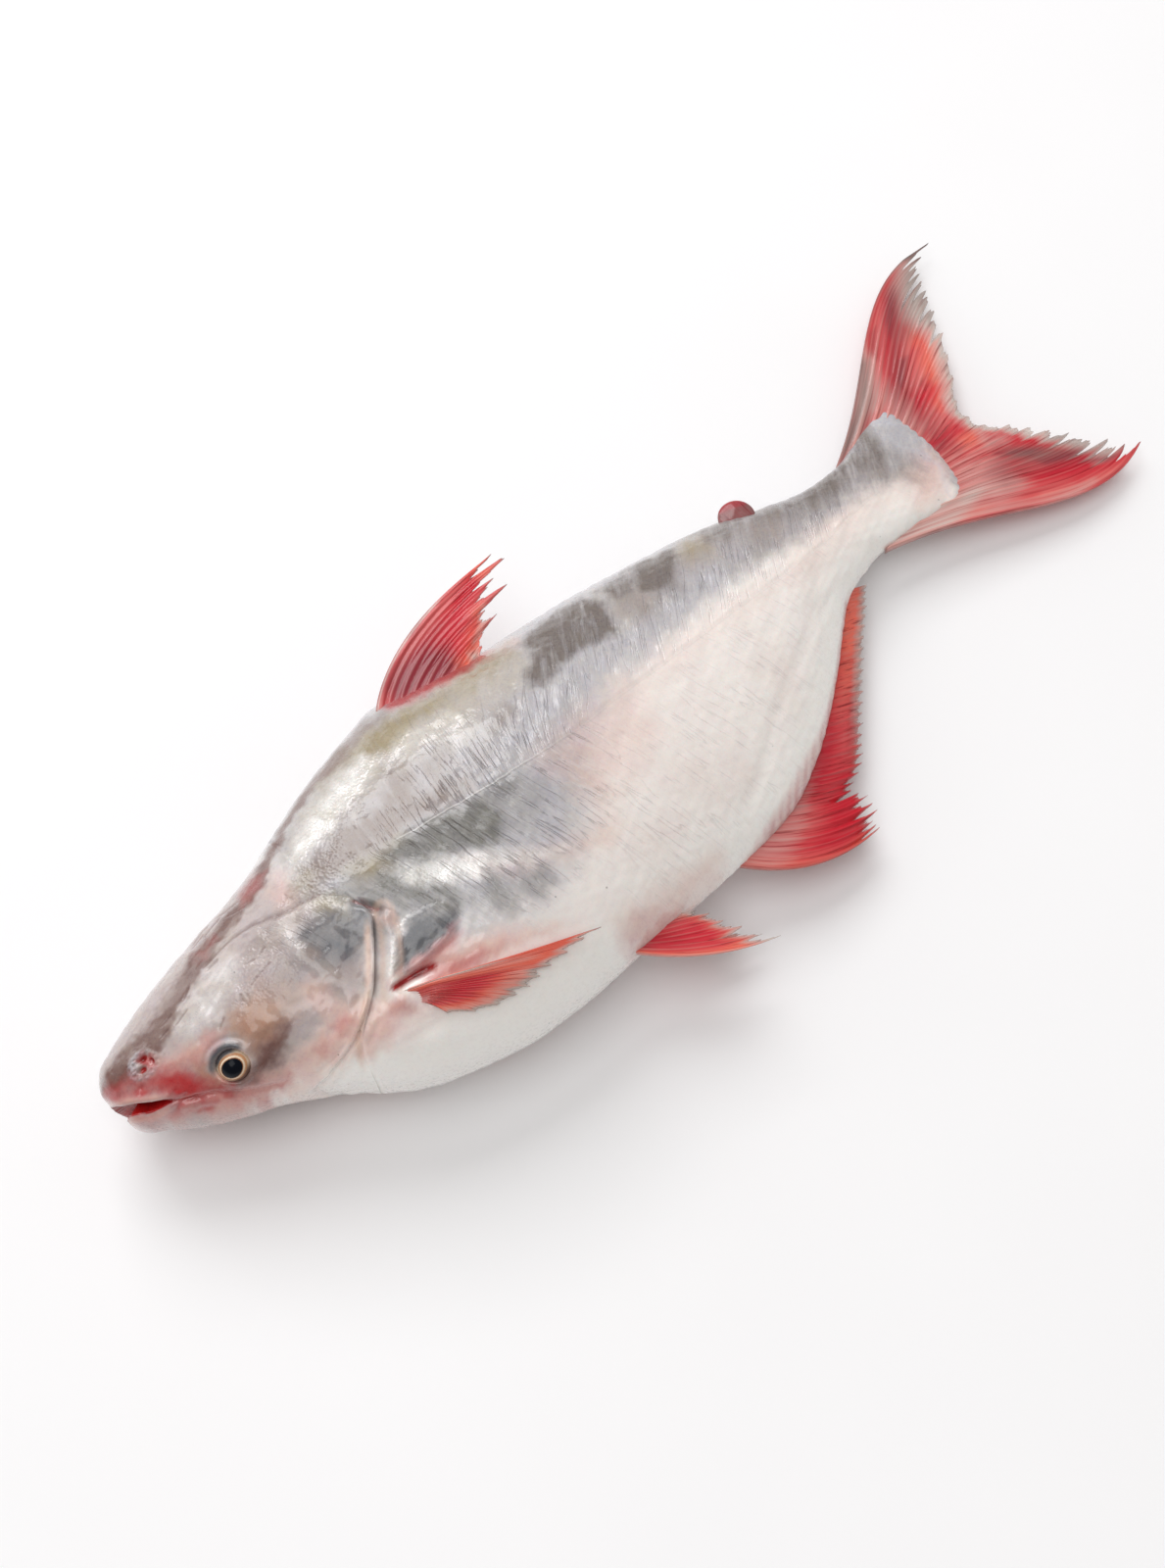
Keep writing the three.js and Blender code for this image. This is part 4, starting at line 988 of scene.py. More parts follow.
def piece(name, points, faces, masks, material):
    """A smooth mesh object in the frame, with named values at its points."""
    mesh = bpy.data.meshes.new(name)
    mesh.from_pydata(to_frame(points).tolist(), [], outward(points, faces))
    for mask, values in masks.items():
        kind, field = ("FLOAT_VECTOR", "vector") if np.ndim(values) == 2 else ("FLOAT", "value")
        attribute = mesh.attributes.new(mask, kind, "POINT")
        attribute.data.foreach_set(field, np.ravel(values).astype(np.float32))
    mesh.shade_smooth()
    mesh.materials.append(material)
    made = placed(name, mesh)
    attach(made, "root")
    return made


def ring_list(detail):
    """Every ring of the body: [ring, distance behind the gill edge, depth below it, whether it
    is on the cover's free edge]."""
    quarters = math.pi / 2 * np.arange(1, END_RINGS) / END_RINGS
    snout = SNOUT_TIP + SNOUT_ROUND * (1 - np.cos(quarters))
    head = np.arange(SNOUT_TIP + SNOUT_ROUND, GILL_RING - 0.2, detail)
    near = GILL_RING + NEAR_START + NEAR_STEP * np.arange(NEAR_RINGS)
    tail_start = FLESH_LENGTH - TAIL_ROUND
    count = int((tail_start - near[-1]) / (TRUNK_STEP * detail))
    trunk = np.linspace(near[-1], tail_start, count + 1)[1:]
    tail = tail_start + TAIL_ROUND * np.sin(quarters)
    rings = [(x, 0, 0, 0) for x in (*snout, *head)]
    rings += [(GILL_RING, behind, depth, 1) for behind, depth in GILL_FOLD]
    rings += [(x, 0, 0, 0) for x in (*near, *trunk, *tail)]
    return np.array(rings)


def turns_around(left_count, right_count):
    """Turns of the points around a ring, closer together on the side that shows."""
    left = np.linspace(0, math.pi, left_count, endpoint=False)
    right = np.linspace(math.pi, 2 * math.pi, right_count, endpoint=False)
    return np.concatenate([left, right])


def body_points(detail, left_count, right_count):
    """The skin as a grid of points, with the relief of the head and flanks, then the same
    points without the relief, and their sides."""
    ring, behind, depth, on_edge = (column[:, None] for column in ring_list(detail).T)
    turn = turns_around(left_count, right_count)[None, :]
    breadth = np.abs(np.sin(turn))
    side = np.where(np.sin(turn) >= 0, LEFT, RIGHT) + 0 * ring
    x = settle_rings(ring, turn)
    free = gill_fade(level_of(x, turn))
    x = x + on_edge * behind * (free * breadth ** 0.5)
    base, normal = flesh(x, turn), flesh_normal(x, turn)
    # The free edge of the cover is a real gap here.
    cover, groove = gill_sides(ring - GILL_RING)
    step = free * np.where(on_edge, GILL_LIP - depth, np.where(ring < GILL_RING, cover, groove))
    base[..., 2] += side * step * breadth * rounding(x)
    height = skin_relief(base, side) * np.where(depth > GILL_ROLL, 0.0, 1.0)
    points = base + normal * height[..., None]
    points[..., 0] = np.maximum(points[..., 0], SNOUT_TIP)
    points[..., 2] = np.minimum(pressed(points[..., 2]), HIGHEST.z / MM)
    return points, base, side


def body_piece(sizes, material):
    """The skin of the head and trunk, closed at the snout and at the tail base."""
    points, base, side = body_points(sizes.skin_step / MM, sizes.points_left, sizes.points_right)
    ends = [
        (SNOUT_TIP, SNOUT_Y, float(MID_HEIGHT(0))),
        (FLESH_LENGTH, TAIL_BASE_Y, float(MID_HEIGHT(FLESH_LENGTH))),
    ]
    every = np.concatenate([points.reshape(-1, 3), ends])
    x, y, z = every.T
    masks = {}
    for name, values in skin_masks(base, side).items():
        masks[name] = np.concatenate([np.clip(values, 0, 1).ravel(), [0, 0]])
    masks["fibre"] = np.stack([streak_lean(x, y), y, z], -1) * MM
    masks["over_line"] = (y - LATERAL_LINE(x)) * MM
    return piece("body", every, capped_faces(*points.shape[:2]), masks, material)


# ---- fins
def between_rays(fin, share):
    """0 on a ray and 1 midway between two."""
    return np.sin(math.pi * fin["rays"] * share) ** 2


def arch_shape(reach, arch):
    """The shape of an arched ray: 0 at both ends and 1 at its highest point."""
    rise, fall = arch
    peak = rise / (rise + fall)
    return (reach ** rise * (1 - reach) ** fall) / (peak ** rise * (1 - peak) ** fall)


def fin_cut(fin, share):
    """How far the edge of the fin stops short of the line through the tips of its rays."""
    rays = share * fin["rays"]
    fray = 0.5 + 0.5 * np.sin(rays * 23 + 3 * np.sin(rays * 5.3))
    cut = fin["notch"] * np.sqrt(between_rays(fin, share)) + fin["ragged"] * fray
    for at, depth, width in fin["slits"]:
        cut = cut + depth * bump(share - at, width)
    return cut * ease(share, 0, 0.02) * ease(1 - share, 0, 0.02)


def fin_sheet(fin, share, along):
    """Points of the fin's middle sheet at a share of its rays and of their length."""
    root_x, root_y = fin["root"](share)
    tip_x, tip_y = fin["tip"](share)
    ray_x, ray_y = tip_x - root_x, tip_y - root_y
    reach = along * (1 - fin_cut(fin, share) * along ** 2)
    arch = fin["bow"](share) * arch_shape(reach, fin["arch"])
    return root_x + ray_x * reach - ray_y * arch, root_y + ray_y * reach + ray_x * arch


def ray_ridge(fin, share, along):
    """1 on a ray, 0 on the skin between: each ray forks twice on its way out."""
    whole, forked, fine = (np.cos(k * math.pi * fin["rays"] * share) ** 4 for k in (1, 2, 4))
    once, twice = ease(along, 0.2, 0.45), ease(along, 0.55, 0.85)
    return whole * (1 - once) + forked * once * (1 - twice) + fine * once * twice


def fin_half_thickness(fin, share, along):
    """Half the fin's thickness: skin, the ridges of the rays, and the stout first ray."""
    root, edge = fin["thick"]
    skin = (root + (edge - root) * np.sqrt(along)) / 2
    ridge = fin["ridge"] * ray_ridge(fin, share, along) * (1 - 0.65 * along)
    round_rod = np.sqrt(np.clip(1 - (share / fin["rod"] - 1) ** 2, 0, 1))
    return skin + ridge + fin["spine"] * round_rod * (1 - 0.8 * along)


def fin_piece(name, fin, height, masks_of, material, tuck=0):
    """A fin as two sheets on either side of its middle one, joined round the rim."""
    columns, rows = fin["rays"] * fin["across"] + 1, fin["along"] + 1
    share = np.linspace(0, 1, columns)[:, None]
    along = np.linspace(0, 1, rows)[None, :]
    x, y = fin_sheet(fin, share, along)
    y = np.minimum(y, TAIL_TOP[1])
    half = fin_half_thickness(fin, share, along)
    wave = fin["wave"] * along * np.sin(9 * share + 4 * along) * np.minimum(1, 4 * (1 - along))
    middle = np.maximum(height(x, y, share, along) + wave, half + TABLE_GAP)
    sheets = [np.stack([x, y + tuck, middle + face * half], -1) for face in (1, -1)]
    points = np.concatenate(sheets).reshape(-1, 3)

    top = grid_faces(columns, rows, False)
    lower = columns * rows
    faces = top.tolist() + (top[:, ::-1] + lower).tolist()
    last = (columns - 1) * rows
    rim = [*range(0, last, rows), *range(last, last + rows)]
    rim += [*range(last - 1, 0, -rows), *range(rows - 2, 0, -1)]
    faces += [(b, a, a + lower, b + lower) for a, b in zip(rim, rim[1:] + rim[:1])]

    masks = {}
    for mask, values in masks_of(x, y, share, along).items():
        masks[mask] = np.tile(np.clip(values + 0 * x, 0, 1).ravel(), 2)
    masks["ray"] = np.tile(ray_ridge(fin, share, along).ravel(), 2)
    width = math.dist(fin["tip"](0.0), fin["tip"](1.0))
    length = math.dist(fin["root"](0.5), fin["tip"](0.5))
    fibre = np.stack([share * width + 0 * x, along * length + 0 * x, 0 * x], -1).reshape(-1, 3) * MM
    masks["fibre"] = np.tile(fibre, (2, 1))
    return piece(name, points, faces, masks, material)


def dorsal_height(x, y, share, along):
    """Height of the dorsal fin's middle sheet over the table."""
    return MID_HEIGHT(x) + DORSAL_LIFT + DORSAL_CURL * np.sin(3 * share + 2 * along)


def tail_height(x, y, share, along):
    """Height of the tail fin's middle sheet over the table."""
    return MID_HEIGHT(x) + TAIL_CURL * along * np.sin(math.pi * (1 - share))


def anal_height(x, y, share, along):
    """Height of the anal fin's middle sheet over the table."""
    front, hind = ANAL_SAG
    return MID_HEIGHT(x) - (front + (hind - front) * share) * along


def pelvic_height(side):
    """How high the middle sheet of the pelvic fin on one side lies over the table."""
    def height(x, y, share, along):
        spread = side * PELVIC_SPREAD - PELVIC_SAG[side] * along
        return MID_HEIGHT(x) + spread + PELVIC_FAN * side * share * along

    return height


def pectoral_height(side):
    """How high the middle sheet of the pectoral fin on one side lies over the table."""
    def height(x, y, share, along):
        lift = PECTORAL_ROOT + (PECTORAL_LIFT - PECTORAL_ROOT) * ease(along, 0, 0.25)
        return flank(x, y, side) + side * (lift + PECTORAL_FAN * along * (1 - share))

    return height


# Areas of the fins' colours, and of clear skin: [strength, softness of the border, outline].
DORSAL_AREAS = {
    "deep": [
        (0.75, 3, [(186, 50), (200, 56), (216, 64), (230, 66), (238, 58), (224, 48), (206, 44)]),
        (1.0, 2, [(228, 66), (240, 72), (252, 77), (252, 68), (242, 63), (232, 60)]),
        (0.6, 3, [(205, 58), (230, 66), (236, 60), (226, 54), (210, 52)]),
        (0.8, 1.5, [(220, 50), (230, 53), (238, 55), (234, 52), (224, 48)]),
    ],
    "maroon": [
        (0.85, 3, [(186, 46), (214, 40), (221, 44), (222, 54), (214, 60), (200, 60), (190, 56)]),
        (0.4, 4, [(190, 56), (206, 64), (224, 68), (232, 64), (222, 56), (204, 54)]),
        (0.5, 1, [(212, 66), (226, 74), (240, 79), (226, 75), (212, 68)]),
    ],
    "coral": [
        (1.0, 2, [(217, 42), (228, 40), (238, 48), (242, 56), (234, 57), (226, 51), (218, 50)]),
        (0.8, 2, [(246, 78), (258, 80), (268, 76), (254, 70), (250, 72)]),
        (0.7, 2, [(238, 62), (246, 62), (248, 56), (240, 56)]),
    ],
    "pale": [
        (0.8, 1.5, [(224, 41), (229, 42), (232, 47), (227, 47)]),
        (0.7, 1.5, [(232, 50), (240, 53), (250, 56), (246, 60), (238, 54)]),
        (0.5, 3, [(176, 46), (182, 48), (186, 56), (180, 56)]),
    ],
    "clear": [
        (1.0, 2, [(228, 40), (240, 50), (250, 58), (242, 60), (230, 48)]),
    ],
}
TAIL_AREAS = {
    "deep": [
        (0.9, 2.5, [(462, 30), (470, 36), (482, 50), (494, 64), (505, 78), (500, 80), (486, 66),
            (474, 52), (464, 40)]),
        (1.0, 3, [(468, 22), (480, 24), (488, 28), (484, 32), (472, 32)]),
        (0.9, 2, [(460, 4), (470, 3), (480, 3), (482, 8), (470, 9), (461, 9)]),
        (0.9, 3, [(484, -4), (496, -8), (508, -20), (512, -28), (502, -25), (488, -13)]),
        (1.0, 3, [(484, -29), (500, -33), (516, -37), (531, -44), (538, -50), (524, -51),
            (504, -46), (488, -38)]),
        (0.6, 2, [(462, -33), (474, -37), (484, -41), (480, -42), (468, -38)]),
        (0.6, 2, [(504, -43), (520, -46), (536, -50), (530, -52), (516, -50), (504, -47)]),
    ],
    "maroon": [
        (0.45, 4, [(456, -4), (460, 12), (458, 30), (470, 46), (488, 66), (504, 84), (514, 86),
            (506, 70), (492, 56), (482, 44), (476, 28), (474, 8), (470, -4)]),
        (0.5, 4, [(470, -20), (484, -12), (500, -20), (520, -38), (532, -48), (512, -44),
            (490, -34), (474, -30)]),
        (0.8, 1.2, [(472, 38), (480, 44), (486, 49), (482, 49), (474, 42)]),
        (0.7, 1.5, [(488, 62), (498, 70), (508, 82), (502, 80), (492, 70)]),
        (0.5, 1.5, [(474, 56), (486, 70), (482, 70), (472, 60)]),
        (0.7, 1.2, [(482, -14), (492, -18), (502, -25), (496, -24), (484, -17)]),
        (0.8, 1.2, [(496, -29), (510, -33), (520, -38), (510, -37), (498, -32)]),
        (0.7, 1.2, [(512, -41), (524, -46), (532, -50), (522, -48)]),
        (0.6, 1.0, [(480, 33), (488, 36), (482, 34.5)]),
        (0.5, 1.0, [(480, 30), (490, 32.5), (482, 31.5)]),
        (0.6, 1.2, [(459, 2), (468, 4), (459, 5.5)]),
    ],
    "coral": [
        (0.9, 3, [(484, 32), (490, 44), (502, 50), (506, 48), (498, 38), (490, 26), (478, 18),
            (478, 24)]),
        (0.7, 3, [(492, 52), (498, 60), (502, 54), (496, 48)]),
        (0.3, 3, [(424, -22), (440, -24), (452, -26), (460, -33), (448, -34), (432, -27)]),
        (0.3, 3, [(456, -30), (476, -40), (500, -50), (520, -54), (530, -53), (500, -48),
            (478, -38)]),
        (0.8, 3, [(474, 2), (484, 2), (482, -6), (474, -4)]),
        (0.5, 2, [(446, 40), (456, 46), (452, 42)]),
    ],
    "pale": [
        (0.9, 4, [(500, 66), (508, 80), (520, 90), (536, 93), (530, 78), (522, 68), (514, 52),
            (502, 52)]),
        (0.5, 3, [(506, 38), (512, 52), (500, 46), (492, 30), (494, 26)]),
        (0.6, 2, [(482, 12), (490, 24), (484, 22), (480, 14)]),
        (0.4, 5, [(454, -14), (464, -6), (476, -11), (484, -20), (480, -30), (468, -29),
            (456, -22)]),
        (0.5, 3, [(482, -6), (490, -7), (496, -12), (490, -14), (482, -10)]),
        (0.6, 3, [(502, 48), (492, 36), (484, 22), (480, 8), (484, -4), (490, 6), (494, 22),
            (500, 36), (508, 48)]),
        (0.4, 4, [(456, 14), (466, 16), (470, 30), (470, 44), (460, 42), (456, 30)]),
        (0.6, 3, [(462, -42), (476, -45), (496, -49), (510, -52), (500, -54), (480, -50),
            (464, -47)]),
        (0.55, 4, [(449, 38), (454, 36), (466, 48), (472, 58), (462, 52)]),
        (0.7, 3, [(420, 26), (440, 38), (456, 50), (474, 66), (470, 58), (452, 40), (436, 30)]),
        (0.5, 3, [(508, -14), (520, -24), (528, -34), (536, -43), (544, -50), (532, -43),
            (516, -30), (506, -20)]),
        (0.5, 3, [(488, -2), (500, -9), (494, -4)]),
    ],
    "dusk": [
        (0.3, 4, [(460, 36), (486, 66), (504, 84), (512, 84), (496, 62), (480, 44), (470, 30)]),
        (0.35, 4, [(486, -12), (504, -24), (522, -40), (508, -36), (490, -24)]),
        (0.4, 3, [(412, 23), (424, 28), (440, 36), (438, 30), (424, 24)]),
        (0.9, 2.5, [(524, 92), (540, 92), (536, 86), (528, 84)]),
        (0.55, 4, [(508, 60), (520, 84), (530, 86), (518, 62), (510, 50)]),
        (0.4, 4, [(492, 58), (504, 74), (516, 88), (528, 90), (520, 76), (508, 62), (498, 54)]),
        (0.65, 3, [(512, -18), (524, -28), (536, -42), (545, -51), (536, -50), (522, -36),
            (510, -24)]),
        (0.7, 3, [(414, 25), (432, 34), (450, 45), (466, 60), (470, 58), (456, 40), (444, 30),
            (424, 26)]),
        (0.5, 2, [(488, -19), (500, -25), (508, -31), (498, -29)]),
    ],
}
ANAL_AREAS = {
    "deep": [
        (0.8, 4, [(300, -86), (318, -74), (340, -56), (360, -38), (364, -40), (346, -60),
            (326, -82), (308, -94)]),
        (1.0, 5, [(284, -105), (296, -100), (306, -92), (318, -84), (332, -84), (330, -98),
            (320, -115), (300, -114)]),
        (0.8, 4, [(310, -84), (330, -76), (336, -72), (330, -68), (318, -74)]),
        (0.6, 2, [(272, -98), (290, -104), (300, -108), (300, -102), (284, -98)]),
    ],
}


def dorsal_masks(x, y, share, along):
    """The colours of the dorsal fin at each point, by name."""
    masks = areas_of(x, y, DORSAL_AREAS)
    front = bump(share - 0.02, 0.012) * fade(along, 0.6, 0.75)
    masks["maroon"] = masks["maroon"] * (1 - 0.4 * ease(along, 0.6, 0.8))
    masks["pale"] = strongest(masks["pale"], 0.8 * front)
    masks["clear"] = 0.4 * ease(along, 0.9, 1) + 0.5 * masks["clear"]
    masks["dusk"] = 0.9 * bump(share, 0.006) * fade(along, 0.55, 0.7)
    masks["dusk"] = masks["dusk"] + 0.5 * ease(along, 0.97, 1)
    masks["show"] = 0.3 + 0.15 * along
    return masks


def tail_masks(x, y, share, along):
    """The colours of the tail fin at each point, by name."""
    masks = areas_of(x, y, TAIL_AREAS)
    trailing = ease(along, 0.8, 0.97) * ease(share, 0.07, 0.1) * fade(share, 0.93, 0.97)
    root = fade(along, 0.03, 0.13) * ease(share, 0.1, 0.16) * fade(share, 0.86, 0.93)
    lower = 1 - 0.6 * ease(along, 0.2, 0.32) - 0.4 * ease(along, 0.4, 0.6)
    inner = ease(share, 0.06, 0.12) * fade(share, 0.9, 0.97)
    bloodless = masks["pale"] + 0.7 * root + 0.65 * ease(share, 0.82, 0.9) * lower
    masks["pale"] = strongest(0.9 * trailing, bloodless)
    masks["clear"] = 0.75 * ease(along, 0.88, 1) * inner
    masks["dusk"] = masks["dusk"] + 0.5 * bump(share, 0.008)
    masks["show"] = 0.85 * (1 - 0.35 * along) * (0.6 + 0.4 * fade(along, 0.05, 0.3))
    return masks


def anal_masks(x, y, share, along):
    """The colours of the anal fin at each point, by name."""
    front = fade(share, 0.24, 0.45)
    root = fade(along, 0.02, 0.2) * ease(share, 0.2, 0.5)
    edge = ease(along, 0.55, 0.9)
    pale = 0.25 * ease(along, 0.88, 1) + 0.3 * front * fade(along, 0.2, 0.5)
    return {
        "deep": strongest(areas_of(x, y, ANAL_AREAS)["deep"], 0.5 * bump(share - 0.45, 0.25)),
        "maroon": 0.35 * bump(share - 0.38, 0.16) * bump(along - 0.2, 0.28) + 0.2 * root,
        "coral": ease(share, 0.42, 0.8) * 0.95 + 0.5 * bump(share, 0.05)
        + 0.5 * ease(along, 0.75, 0.95),
        "pale": pale + 0.6 * ease(share, 0.35, 0.7) * edge,
        "clear": 0.6 * ease(along, 0.82, 1) + 0.7 * ease(share, 0.3, 0.5) * edge,
        "dusk": 0.1 + 0.25 * bump(share, 0.012),
        "show": 0.3 + 0.1 * front * fade(along, 0.3, 0.6),
    }


def pelvic_masks(x, y, share, along):
    """The colours of a pelvic fin at each point, by name."""
    blood = bump(share - 0.38, 0.32) * ease(along, 0.0, 0.25)
    root = fade(along, 0.0, 0.3) * ease(share, 0.1, 0.3)
    middle = bump(share - 0.35, 0.2) * fade(along, 0.4, 0.8)
    pale = 0.75 * ease(share, 0.6, 0.95) * ease(along, 0.35, 0.8) + 0.7 * ease(along, 0.82, 1)
    return {
        "deep": blood * (1 - 0.75 * ease(along, 0.72, 0.95)),
        "maroon": 0.3 * root + 0.25 * middle,
        "coral": bump(share, 0.12) + 0.6 * ease(along, 0.65, 0.9) + 0.5 * ease(share, 0.6, 0.9),
        "pale": pale + 0.4 * bump(share, 0.05),
        "clear": 0.7 * ease(along, 0.74, 1) + 0.5 * ease(share, 0.55, 1) * ease(along, 0.35, 0.9),
        "dusk": 0.2 * ease(along, 0.95, 1),
        "show": 0.5,
    }


def pectoral_masks(x, y, share, along):
    """The colours of a pectoral fin at each point, by name."""
    spine = fade(share, 0.24, 0.34)
    web = ease(share, 0.26, 0.36)
    inner = ease(share, 0.4, 0.8) * fade(along, 0.25, 0.6)
    between = 1 - ray_ridge(PECTORAL_FIN, share, 0.1 + 0 * along)
    blood = web * bump(along - 0.5, 0.24) * (1 - 0.5 * ease(share, 0.65, 0.95))
    # A white streak along the stout first ray: a painted highlight.
    rod = 0.95 * bump(share - 0.1, 0.045) * fade(along, 0.35, 0.7)
    rod = rod + 0.3 * bump(share - 0.17, 0.08) * fade(along, 0.7, 0.95)
    dark = 0.25 * blood * bump(between - 1, 0.2)
    return {
        "deep": blood * (0.85 + 0.15 * between),
        "maroon": 0.5 * bump(share, 0.012) * ease(along, 0.2, 0.4) + dark,
        "coral": 1.1 * spine + web * ease(along, 0.5, 0.75) + 0.5 * web * (1 - between),
        "pale": rod + 0.7 * ease(along, 0.88, 1) + 0.4 * web * ease(along, 0.6, 0.9),
        "clear": 0.8 * ease(along, 0.85, 1) * web + inner,
        "dusk": 0,
        "show": 0.5 * web,
    }


def adipose_piece(material):
    """A small fleshy lobe on the back in front of the tail."""
    rings, spokes = ADIPOSE["rings"], ADIPOSE["spokes"]
    at, lean = ADIPOSE["x"], math.radians(ADIPOSE["lean"])
    theta = np.linspace(0, math.pi, rings)[:, None]
    phi = np.linspace(0, 2 * math.pi, spokes, endpoint=False)[None, :]
    u = np.cos(theta) * ADIPOSE["length"] / 2 + 0 * phi
    v = np.sin(theta) * np.sin(phi) * ADIPOSE["height"]
    w = np.sin(theta) * np.cos(phi) * ADIPOSE["breadth"] / 2 * (1 + 0.12 * ripple(u, v, 4, 1.1))
    x = at + u * math.cos(lean) - v * math.sin(lean)
    y = float(BACK_LINE(at)) - ADIPOSE["sunk"] + u * math.sin(lean) + v * math.cos(lean)
    z = float(MID_HEIGHT(at)) + ADIPOSE["lift"] + w
    points = np.stack([x, y, z], -1).reshape(-1, 3)
    rise = ((y - BACK_LINE(x)) / 6).ravel()
    # Paler and more coral at its top, which is a painted highlight; greyer and darker towards its
    # foot.
    masks = {
        "deep": 0.15, "clear": 0, "show": 0, "ray": 0,
        "maroon": 0.72 - 0.25 * ease(rise, 0.4, 1), "coral": 0.15 * ease(rise, 0.6, 1),
        "pale": 0.28 * ease(rise, 0.75, 1), "dusk": 0.5 * fade(rise, 0, 0.4),
    }
    masks = {name: values + 0 * rise for name, values in masks.items()}
    masks["fibre"] = points * MM
    faces = grid_faces(rings, spokes, True).tolist()
    return piece("adipose_fin", points, faces, masks, material)


# ---- eyes
def eye_piece(name, side, sizes, material):
    """Eyeball with the clearer dome of the cornea, its axis square to the skin."""
    spot, normal = head_spot(EYE_X, EYE_Y, side)
    radius, cornea = sizes.eye_radius / MM, sizes.cornea_radius / MM
    bulge, proud = sizes.cornea_bulge / MM, sizes.eye_proud / MM
    centre = spot + normal * (proud - radius)
    polar = np.linspace(0, math.pi, EYE_RINGS)[1:-1, None]
    around = np.linspace(0, 2 * math.pi, EYE_SPOKES, endpoint=False)[None, :]
    cosine, sine = np.cos(around) + 0 * polar, np.sin(around) + 0 * polar
    axis = Vector(normal.tolist())
    across = axis.cross(Vector((0, 1, 0))).normalized()
    above = across.cross(axis)
    out = radius * np.sin(polar)
    dome = np.where((polar < math.pi / 2) & (out < cornea), bulge * (1 - (out / cornea) ** 2), 0)
    height = radius * np.cos(polar) + dome
    ring = centre + height[..., None] * normal
    ring = ring + (out * cosine)[..., None] * across + (out * sine)[..., None] * above
    ends = [centre + normal * (radius + bulge), centre - normal * radius]
    points = np.concatenate([ring.reshape(-1, 3), ends])

    long, high = EYE_OVAL
    away = (polar * radius * np.hypot(cosine / long, sine * high)).ravel()
    away = np.concatenate([away, [0, math.pi * radius]])
    upward = np.concatenate([sine.ravel(), [0, 0]])
    forward = np.concatenate([cosine.ravel(), [1, 1]])
    masks = {
        "away": away * MM, "upward": upward,
        "spoke": np.stack([forward, upward, away / radius], -1),
    }
    faces = capped_faces(EYE_RINGS - 2, EYE_SPOKES)
    return piece(name, points, faces, masks, material)


# ---- materials
def linear(code):
    """A colour given as sRGB hex, as linear red, green and blue."""
    parts = [int(code[i:i + 2], 16) / 255 for i in (1, 3, 5)]
    return tuple(p / 12.92 if p <= 0.04045 else ((p + 0.055) / 1.055) ** 2.4 for p in parts)


def add(tree, kind, inputs=None, output=0, **settings):
    """Adds a node with its settings and links, and gives one of its outputs."""
    made = tree.nodes.new("ShaderNode" + kind)
    for name, value in settings.items():
        setattr(made, name, value)
    for name, value in (inputs or {}).items():
        if isinstance(value, bpy.types.NodeSocket):
            tree.links.new(value, made.inputs[name])
        else:
            solid = isinstance(value, Color)
            made.inputs[name].default_value = (*value, 1.0) if solid else value
    return made.outputs[output] if made.outputs else None


def per_metre(size_mm):
    """Scale of a pattern whose grain has this size."""
    return 1 / (size_mm * MM)


def new_material(name):
    """A material with an empty node tree."""
    material = bpy.data.materials.new(name)
    material.use_nodes = True
    material.node_tree.nodes.clear()
    return material, material.node_tree


def ragged(tree, value, noise, amount, low, high):
    """A mask with its border broken up by a noise."""
    centred = add(tree, "Math", {0: noise, 1: 0.5}, operation="SUBTRACT")
    moved = add(tree, "Math", {0: centred, 1: amount, 2: value}, operation="MULTIPLY_ADD")
    return add(tree, "MapRange", {0: moved, 1: low, 2: high})


def clouded(tree, value, noise, amount):
    """A mask made thinner and thicker by a noise where it lies, and nowhere else."""
    centred = add(tree, "Math", {0: noise, 1: 0.5}, operation="SUBTRACT")
    share = add(tree, "Math", {0: centred, 1: value}, operation="MULTIPLY")
    moved = add(tree, "Math", {0: share, 1: amount, 2: value}, operation="MULTIPLY_ADD")
    return add(tree, "MapRange", {0: moved, 1: 0.06})


